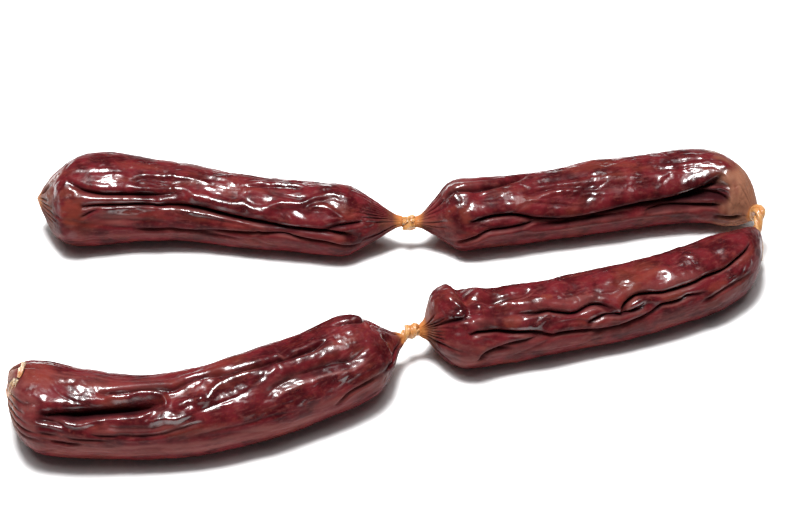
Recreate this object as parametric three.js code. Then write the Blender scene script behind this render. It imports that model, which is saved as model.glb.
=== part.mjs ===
// A string of four dry-cured sausages in one natural casing, lying on a table.
// The casing is twisted into a dry neck between neighbours and pinched shut at the two free ends.
// Millimetres, +Z up. The origin is the centre of the string's footprint, on the table.
// +X runs along the row, and -Y is the side of the two nearer links.
import * as THREE from "three";

// How finely each piece is faceted.
const LINK_AROUND = 30;
const LINK_ALONG = 42;
const NECK_AROUND = 14;
const NECK_ALONG = 24;
const TAIL_AROUND = 12;
const TAIL_ALONG = 8;

const SETTLED = 0.75; // how far each heavy link presses its own underside flat
const JOIN_GAP = 0.4; // clearance between neighbouring solids
const LOBES = 0.26; // how strongly a wrung neck's section is pinched in at the waist

// Burgundy cured meat seen through its casing, and bare dried casing.
const MEAT = new THREE.MeshStandardMaterial({ color: 0x5f2022, roughness: 0.32, metalness: 0 });
const CASING = new THREE.MeshStandardMaterial({ color: 0xc98a4b, roughness: 0.45, metalness: 0 });

// Each link is lofted through upright sections. A station is [x, y, z of the section's centre,
// half its width, half its height, the way the link points there in degrees from +X towards +Y].
// A fold is a valley that shrinkage pulled into the skin. It runs through [share of the length,
// degrees up from the near side] points, and has a depth and a half width.
const LINKS = {
  link_1: {
    stations: [
      [-118.7, 44.2, 14.0, 1.0, 1.0, -4],
      [-115.9, 43.4, 13.8, 5.5, 5.5, -4],
      [-111.7, 42.4, 13.8, 11.2, 11.0, -4],
      [-105.9, 42.6, 14.4, 14.9, 14.5, -4],
      [-96.9, 43.2, 14.6, 15.2, 14.8, -4],
      [-84.9, 44.2, 13.8, 14.2, 13.8, -5],
      [-70.9, 43.7, 12.8, 13.0, 12.8, -6],
      [-55.9, 41.3, 12.2, 12.2, 12.2, -7],
      [-40.9, 38.8, 11.9, 11.9, 11.9, -7],
      [-27.9, 36.8, 11.8, 11.8, 11.8, -6],
      [-18.9, 35.8, 11.8, 11.8, 11.8, -6],
      [-13.9, 35.4, 11.8, 10.6, 10.6, -5],
      [-7.4, 35.2, 11.8, 5.6, 5.6, -3],
      [-2.9, 35.2, 12.0, 2.3, 2.3, 0],
      [-0.9, 35.2, 12.0, 1.6, 1.6, 0],
    ],
    folds: [
      { depth: 3.2, half: 3.2, path: [[0.2, 35], [0.36, 31], [0.5, 29], [0.64, 20], [0.86, 9]] },
      { depth: 1.4, half: 3.4, path: [[0.31, 68], [0.41, 68], [0.51, 66]] },
    ],
  },
  link_2: {
    stations: [
      [8.1, 35.2, 12.0, 1.6, 1.6, 4],
      [9.9, 35.6, 12.0, 3.0, 3.0, 6],
      [14.1, 37.0, 12.0, 7.8, 7.8, 8],
      [19.1, 38.0, 12.0, 11.6, 11.6, 9],
      [27.1, 39.2, 11.7, 11.7, 11.7, 10],
      [40.1, 41.6, 11.4, 11.6, 11.4, 11],
      [54.1, 44.5, 11.6, 11.8, 11.6, 12],
      [67.1, 47.8, 12.0, 12.2, 12.0, 12],
      [81.1, 50.6, 12.0, 12.2, 12.0, 11],
      [94.1, 52.8, 12.2, 12.4, 12.2, 8],
      [103.1, 52.4, 12.4, 12.4, 12.4, 2],
      [109.3, 49.4, 12.4, 11.0, 11.8, -7],
      [113.5, 45.2, 12.4, 7.6, 9.6, -22],
      [115.9, 40.8, 12.2, 4.0, 5.4, -42],
      [116.9, 38.2, 12.0, 1.8, 1.8, -56],
    ],
    folds: [
      { depth: 4.2, half: 3.6, path: [[0.16, 0], [0.36, 7], [0.56, 13], [0.72, 18], [0.86, 22]] },
    ],
  },
  link_3: {
    stations: [
      [8.1, -15.8, 12.0, 1.6, 1.6, 8],
      [9.9, -15.2, 12.0, 4.4, 4.4, 10],
      [12.6, -14.6, 12.4, 9.8, 9.8, 12],
      [16.6, -15.0, 13.0, 13.2, 12.6, 13],
      [21.1, -15.6, 13.0, 13.0, 12.8, 14],
      [29.1, -14.2, 11.8, 11.8, 11.8, 15],
      [42.1, -11.0, 11.7, 11.8, 11.7, 16],
      [56.1, -7.0, 11.6, 11.7, 11.6, 17],
      [69.1, -3.2, 11.7, 11.8, 11.7, 18],
      [82.1, 1.6, 11.7, 11.8, 11.7, 20],
      [95.1, 7.2, 11.4, 11.8, 11.4, 23],
      [102.6, 11.8, 11.4, 11.4, 11.4, 22],
      [108.7, 15.8, 11.6, 9.4, 10.8, 24],
      [112.7, 20.4, 12.4, 6.6, 8.2, 30],
      [115.1, 25.4, 13.2, 3.4, 4.4, 40],
      [116.1, 28.2, 13.2, 1.7, 1.7, 52],
    ],
    folds: [
      { depth: 2.6, half: 3.2, path: [[0.54, 42], [0.66, 46], [0.78, 48], [0.9, 58]] },
      { depth: 2.2, half: 3.2, path: [[0.13, 27], [0.3, 21], [0.46, 16], [0.6, 14]] },
      { depth: 1.6, half: 3.2, path: [[0.3, 50], [0.4, 48], [0.5, 49]] },
    ],
  },
  link_4: {
    stations: [
      [-115.1, -43.4, 13.4, 2.5, 4.0, -3],
      [-113.5, -46.2, 13.2, 8.0, 8.6, -3],
      [-109.4, -49.2, 13.4, 12.6, 12.4, -3],
      [-103.4, -50.6, 13.6, 14.0, 13.6, -3],
      [-92.9, -52.0, 13.0, 13.4, 13.0, -3],
      [-80.9, -52.8, 12.3, 12.6, 12.3, 0],
      [-67.9, -52.3, 12.4, 12.6, 12.4, 5],
      [-53.9, -49.6, 12.8, 13.0, 12.8, 12],
      [-40.9, -44.8, 13.2, 13.4, 13.2, 19],
      [-28.9, -39.0, 13.2, 13.6, 13.2, 25],
      [-18.9, -33.2, 13.4, 13.8, 13.4, 29],
      [-11.4, -28.6, 13.4, 12.8, 12.8, 31],
      [-6.4, -25.4, 13.0, 9.0, 9.0, 32],
      [-2.5, -22.3, 12.4, 3.8, 3.8, 34],
      [-0.3, -20.6, 12.0, 1.6, 1.6, 36],
    ],
    folds: [
      { depth: 3.2, half: 3.2, path: [[0.12, 38], [0.2, 37], [0.28, 41], [0.37, 44]] },
      { depth: 1.8, half: 3.2, path: [[0.26, 76], [0.41, 78], [0.52, 84], [0.66, 88]] },
    ],
  },
};

// Bare casing wrung into a tight spiral between two links. A point of the path is [x, y, z,
// radius there], and turns is how often the wrung section goes round.
const NECKS = {
  twist_1_2: {
    path: [[-0.9, 35.2, 11.4, 1.6], [2.1, 34.9, 11.2, 2.2], [5.1, 35.4, 11.3, 2.3], [8.1, 35.2, 11.4, 1.6]],
    turns: 1.6,
  },
  twist_2_3: {
    path: [
      [117.0, 38.0, 11.4, 1.6],
      [118.3, 36.2, 11.8, 2.0],
      [118.7, 34.2, 14.0, 2.3],
      [118.5, 32.0, 14.4, 2.2],
      [117.5, 30.0, 13.2, 1.9],
      [116.1, 28.2, 12.6, 1.6],
    ],
    turns: 1.5,
  },
  twist_3_4: {
    path: [
      [-0.3, -20.6, 11.4, 1.6],
      [1.5, -19.3, 11.9, 1.9],
      [4.9, -16.9, 12.1, 2.1],
      [8.1, -16.3, 11.4, 1.6],
    ],
    turns: 1.3,
  },
};

// The free ends: a pinched tip, and a crumpled frill where the casing was cut.
const TAILS = {
  tail_1: {
    path: [
      [-118.7, 44.2, 13.4, 1.0],
      [-119.8, 44.3, 13.7, 1.3],
      [-121.1, 44.3, 14.3, 0.6],
    ],
    turns: 0.5,
  },
  tail_4: {
    path: [
      [-115.4, -43.4, 12.8, 1.9],
      [-116.6, -43.2, 13.0, 2.1],
      [-117.8, -43.0, 13.2, 1.3],
    ],
    turns: 0.3,
  },
};

const radians = THREE.MathUtils.degToRad;

// A curve through rows of three numbers.
function curveThrough(rows) {
  const points = rows.map((row) => new THREE.Vector3(...row));
  return new THREE.CatmullRomCurve3(points, false, "catmullrom", 0.5);
}

// Where a fold lies at a share of the length, or null beyond its ends, with its fade-out there.
function foldAt(fold, share) {
  const first = fold.path[0][0];
  const last = fold.path[fold.path.length - 1][0];
  if (share <= first || share >= last) return null;
  const i = fold.path.findIndex(([at]) => at > share) - 1;
  const [[atA, angleA], [atB, angleB]] = [fold.path[i], fold.path[i + 1]];
  const angle = THREE.MathUtils.lerp(angleA, angleB, (share - atA) / (atB - atA));
  const fade = THREE.MathUtils.smoothstep(Math.min(share - first, last - share), 0, 0.06);
  return { angle, fade };
}

// How far the folds pull the skin in at a share of the length and an angle, in millimetres.
function pulledIn(folds, share, degrees, radius) {
  let depth = 0;
  for (const fold of folds) {
    const at = foldAt(fold, share);
    if (!at) continue;
    const across = radius * radians(THREE.MathUtils.euclideanModulo(degrees - at.angle + 180, 360) - 180);
    depth += fold.depth * at.fade * Math.exp(-((across / fold.half) ** 2));
  }
  return Math.min(depth, radius * 0.5);
}

// The sections of a link, one per ring, evenly spaced along its outline so that the steep ends
// get as many rings as the long flanks.
function evenSections(stations, count) {
  const centres = curveThrough(stations.map(([x, y, z]) => [x, y, z]));
  const sizes = curveThrough(stations.map(([, , , width, height, heading]) => [width, height, heading]));
  const fine = 600;
  const travelled = [0];
  for (let i = 1; i <= fine; i++) {
    const step = centres.getPoint(i / fine).distanceTo(centres.getPoint((i - 1) / fine));
    const growth = sizes.getPoint(i / fine).y - sizes.getPoint((i - 1) / fine).y;
    travelled.push(travelled[i - 1] + Math.hypot(step, growth));
  }
  const sections = [];
  for (let ring = 0, i = 0; ring < count; ring++) {
    const target = (travelled[fine] * ring) / (count - 1);
    while (i < fine - 1 && travelled[i + 1] < target) i++;
    const t = (i + (target - travelled[i]) / (travelled[i + 1] - travelled[i])) / fine;
    sections.push({ centre: centres.getPoint(t), size: sizes.getPoint(t) });
  }
  return sections;
}

// One link: a sphere whose rings become the sections, and whose poles close the two tips flat.
function linkGeometry({ stations, folds }) {
  const sections = evenSections(stations, LINK_ALONG - 1);
  const geometry = new THREE.SphereGeometry(1, LINK_AROUND, LINK_ALONG);
  const { position, uv } = geometry.attributes;
  for (let i = 0; i < position.count; i++) {
    const row = Math.round((1 - uv.getY(i)) * LINK_ALONG);
    const ring = THREE.MathUtils.clamp(row - 1, 0, LINK_ALONG - 2);
    const pole = row === 0 || row === LINK_ALONG;
    const { centre, size } = sections[ring];
    const angle = 2 * Math.PI * uv.getX(i);
    const share = ring / (LINK_ALONG - 2);
    const depth = pulledIn(folds, share, THREE.MathUtils.radToDeg(angle), (size.x + size.y) / 2);
    const outward = pole ? 0 : (size.x - depth) * Math.cos(angle);
    const up = pole ? 0 : (size.y - depth) * Math.sin(angle);
    const yaw = radians(size.z);
    position.setXYZ(
      i,
      centre.x + outward * Math.sin(yaw),
      centre.y - outward * Math.cos(yaw),
      Math.max(centre.z - SETTLED + up, 0),
    );
  }
  return geometry;
}

// One neck or tail: a capped cylinder whose two-lobed section turns as it runs along the path.
function neckGeometry({ path, turns }, around, along) {
  const line = curveThrough(path.map(([x, y, z]) => [x, y, z]));
  const thickness = curveThrough(path.map(([, , , radius]) => [radius, 0, 0]));
  const trim = JOIN_GAP / line.getLength();
  const frames = line.computeFrenetFrames(along, false);
  const geometry = new THREE.CylinderGeometry(1, 1, 1, around, along);
  const { position } = geometry.attributes;
  for (let i = 0; i < position.count; i++) {
    const share = THREE.MathUtils.clamp(0.5 - position.getY(i), 0, 1);
    const at = THREE.MathUtils.lerp(trim, 1 - trim, share);
    const angle = Math.atan2(position.getZ(i), position.getX(i));
    const flat = Math.hypot(position.getX(i), position.getZ(i));
    const pinch = LOBES * Math.sin(Math.PI * share);
    const lobed = 1 + pinch * Math.cos(2 * (angle - 2 * Math.PI * turns * share));
    const radius = flat * thickness.getPoint(at).x * lobed;
    const frame = Math.round(share * along);
    const point = line.getPointAt(at);
    point.addScaledVector(frames.normals[frame], radius * Math.cos(angle));
    point.addScaledVector(frames.binormals[frame], radius * Math.sin(angle));
    position.setXYZ(i, point.x, point.y, point.z);
  }
  return geometry;
}

function named(name, geometry, material) {
  const mesh = new THREE.Mesh(geometry, material);
  mesh.name = name;
  return mesh;
}

const string = new THREE.Group();
for (const [name, link] of Object.entries(LINKS)) {
  string.add(named(name, linkGeometry(link), MEAT));
}
for (const [name, neck] of Object.entries(NECKS)) {
  string.add(named(name, neckGeometry(neck, NECK_AROUND, NECK_ALONG), CASING));
}
for (const [name, tail] of Object.entries(TAILS)) {
  string.add(named(name, neckGeometry(tail, TAIL_AROUND, TAIL_ALONG), CASING));
}

export default string;
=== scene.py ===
"""A string of dry-cured sausages in one natural casing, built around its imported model."""

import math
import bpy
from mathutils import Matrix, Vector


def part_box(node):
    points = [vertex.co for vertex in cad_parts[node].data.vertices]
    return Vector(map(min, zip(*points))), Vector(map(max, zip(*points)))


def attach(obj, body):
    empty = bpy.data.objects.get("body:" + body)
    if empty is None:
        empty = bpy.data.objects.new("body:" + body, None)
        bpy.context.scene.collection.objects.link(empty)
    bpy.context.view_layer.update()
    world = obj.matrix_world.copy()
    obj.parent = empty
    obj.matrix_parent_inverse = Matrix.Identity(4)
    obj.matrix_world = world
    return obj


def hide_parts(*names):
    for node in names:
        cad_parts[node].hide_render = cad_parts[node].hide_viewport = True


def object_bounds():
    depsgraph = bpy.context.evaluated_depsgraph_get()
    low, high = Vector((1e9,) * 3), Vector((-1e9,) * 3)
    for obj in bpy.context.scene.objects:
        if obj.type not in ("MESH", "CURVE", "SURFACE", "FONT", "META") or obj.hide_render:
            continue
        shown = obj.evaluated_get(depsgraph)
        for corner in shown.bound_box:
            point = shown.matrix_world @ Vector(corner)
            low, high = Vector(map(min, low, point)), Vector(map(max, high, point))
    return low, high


bl_info = {
    "name": "Cured sausage string",
    "version": (1, 0, 0),
    "blender": (4, 5, 0),
    "location": "View3D > Sidebar > Sausage",
    "description": "Builds a string of wrinkled dry-cured sausages joined by wrung casing",
    "category": "Add Mesh",
}

import bpy
import numpy as np
from bpy.props import FloatProperty, FloatVectorProperty, PointerProperty
from mathutils import Vector

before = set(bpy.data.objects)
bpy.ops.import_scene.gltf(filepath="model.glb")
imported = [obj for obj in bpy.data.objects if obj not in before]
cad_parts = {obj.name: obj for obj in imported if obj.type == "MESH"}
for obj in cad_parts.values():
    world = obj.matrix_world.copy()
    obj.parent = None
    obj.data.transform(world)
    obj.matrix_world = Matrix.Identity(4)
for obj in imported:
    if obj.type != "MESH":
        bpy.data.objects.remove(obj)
CAD_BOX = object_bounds()

MM = 0.001  # shapes are worked out in millimetres and put into the meshes in metres

# How finely the skins are woven.
RINGS = 440
SPOKES = 216
NECK_RINGS = 150
NECK_SPOKES = 72

# Rows each outline is traced with before it is restepped evenly.
LINK_ROWS = 4000
NECK_ROWS = 1200
FRILL_ROWS = 600

# Where the random draws of the necks, tails and frills start.
NECK_SEED = 700
TAIL_SEED = 720
FRILL_SEED = 740

GRAIN_GAIN = 1.7  # brings gradient noise to about -1 to 1
DEEP_FOLD = 1  # folds deeper than this, in mm, have a thin pale line under them, a painted highlight
HIGHLIGHT_LINE_HALF = 0.32  # half width of that line in mm

# The stage, in metres and degrees. Lights hang at an offset from the middle of the string.
TABLE_REACH = 3.0
KEY_SIZE = 0.22
KEY_OFFSET = Vector((-0.06, -0.01, 0.7))
SOFTBOX_SIZE = 0.9
SOFTBOX_OFFSET = Vector((-0.05, 0.03, 1.0))
CAMERA_AIM = Vector((-0.0009, 0.0195, 0.008))
CAMERA_AWAY = 0.6
CAMERA_ELEVATION = 42.0

# A link's sections, from its left tip to its right tip. Each row is a section's centre in mm from
# the lowest corner of the link's own box, half its width, half its height, and the way the link
# points there in degrees from +X towards +Y.
SECTIONS = {
    "link_1": [
        (0.1, 20.0, 13.2, 1.0, 1.0, -4),
        (2.9, 19.2, 13.1, 5.5, 5.5, -4),
        (7.1, 18.2, 13.1, 11.2, 11.0, -4),
        (12.9, 18.4, 13.7, 14.9, 14.5, -4),
        (21.9, 19.0, 13.8, 15.2, 14.8, -4),
        (33.9, 20.0, 13.1, 14.2, 13.8, -5),
        (47.9, 19.5, 12.1, 13.0, 12.8, -6),
        (62.9, 17.1, 11.4, 12.2, 12.2, -7),
        (77.9, 14.6, 11.2, 11.9, 11.9, -7),
        (90.9, 12.6, 11.1, 11.8, 11.8, -6),
        (100.7, 11.6, 11.1, 11.8, 11.8, -6),
        (105.4, 11.2, 11.1, 10.2, 10.2, -5),
        (112.4, 11.0, 11.1, 5.7, 5.7, -3),
        (117.6, 11.0, 11.2, 2.5, 2.5, 0),
        (120.2, 11.0, 11.2, 1.7, 1.7, 0),
    ],
    "link_2": [
        (-2.4, 8.3, 11.2, 1.7, 1.7, 2),
        (0.3, 8.8, 11.2, 2.7, 2.7, 5),
        (5.4, 10.3, 11.2, 6.9, 6.9, 8),
        (11.1, 11.5, 11.2, 11.4, 11.4, 9),
        (19.1, 12.7, 10.9, 11.7, 11.7, 10),
        (32.1, 15.1, 10.7, 11.6, 11.4, 11),
        (46.1, 18.0, 10.8, 11.8, 11.6, 12),
        (59.1, 21.3, 11.2, 12.2, 12.0, 12),
        (73.1, 24.1, 11.2, 12.2, 12.0, 11),
        (86.1, 26.3, 11.4, 12.4, 12.2, 8),
        (95.1, 25.9, 11.7, 12.4, 12.4, 2),
        (101.3, 22.9, 11.7, 11.0, 11.8, -7),
        (105.5, 18.7, 11.7, 7.6, 9.6, -22),
        (107.9, 14.3, 11.4, 4.0, 5.4, -42),
        (108.9, 11.7, 11.2, 1.8, 1.8, -56),
    ],
    "link_3": [
        (-1.4, 12.2, 11.2, 1.7, 1.7, 8),
        (1.2, 13.0, 11.2, 3.8, 3.8, 10),
        (4.7, 13.8, 11.7, 9.8, 9.8, 12),
        (8.7, 13.4, 12.2, 13.2, 12.6, 13),
        (13.2, 12.8, 12.2, 13.0, 12.8, 14),
        (21.2, 14.2, 11.1, 11.8, 11.8, 15),
        (34.2, 17.4, 10.9, 11.8, 11.7, 16),
        (48.2, 21.4, 10.8, 11.7, 11.6, 17),
        (61.2, 25.2, 10.9, 11.8, 11.7, 18),
        (74.2, 30.0, 10.9, 11.8, 11.7, 20),
        (87.2, 35.6, 10.7, 11.8, 11.4, 23),
        (94.7, 40.2, 10.7, 11.4, 11.4, 22),
        (100.8, 44.2, 10.8, 9.4, 10.8, 24),
        (104.8, 48.8, 11.7, 6.6, 8.2, 30),
        (107.2, 53.8, 12.4, 3.4, 4.4, 40),
        (108.2, 56.6, 12.4, 1.7, 1.7, 52),
    ],
    "link_4": [
        (0.3, 22.3, 13.0, 2.5, 3.8, 4),
        (1.9, 19.8, 12.7, 7.8, 8.4, 4),
        (6.1, 16.8, 12.8, 12.2, 12.1, 3),
        (11.9, 15.1, 12.8, 13.9, 13.5, 0),
        (22.3, 13.5, 12.2, 13.4, 13.0, -3),
        (34.3, 12.7, 11.6, 12.6, 12.3, 0),
        (47.3, 13.2, 11.7, 12.6, 12.4, 5),
        (61.3, 15.9, 12.1, 13.0, 12.8, 12),
        (74.3, 20.7, 12.4, 13.4, 13.2, 19),
        (86.3, 26.5, 12.4, 13.6, 13.2, 25),
        (96.3, 32.3, 12.7, 13.8, 13.4, 29),
        (103.8, 36.9, 12.7, 12.8, 12.8, 31),
        (108.8, 40.1, 12.2, 9.0, 9.0, 32),
        (113.3, 43.6, 11.6, 4.0, 4.0, 34),
        (116.3, 45.8, 11.2, 1.8, 1.8, 32),
    ],
}


def crease(depth, half, upper, lower, hang, valley_shade, path):
    """A fold drawn on the skin through (share of the length, degrees up from the near side,
    strength) points: depth and half width of its valley, height of its upper and lower lips, and
    how far the upper lip hangs down over the valley, in mm. The number before the path is how dark
    the valley's colour is painted, as shade. The strength is 0 at both ends of the path, and 1 at
    any other point that doesn't give its own."""
    middle = [(*point, 1)[:3] for point in path[1:-1]]
    path = [(*path[0], 0), *middle, (*path[-1], 0)]
    fold = {"depth": depth, "half": half, "upper": upper, "lower": lower}
    return {**fold, "hang": hang, "valley_shade": valley_shade, "path": path}


def ridge(height, half, path):
    """A raised cord of skin along a drawn line, with a faint dip on both sides."""
    return crease(-height, half, -0.15 * height, -0.15 * height, 0.0, 0.0, path)


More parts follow.
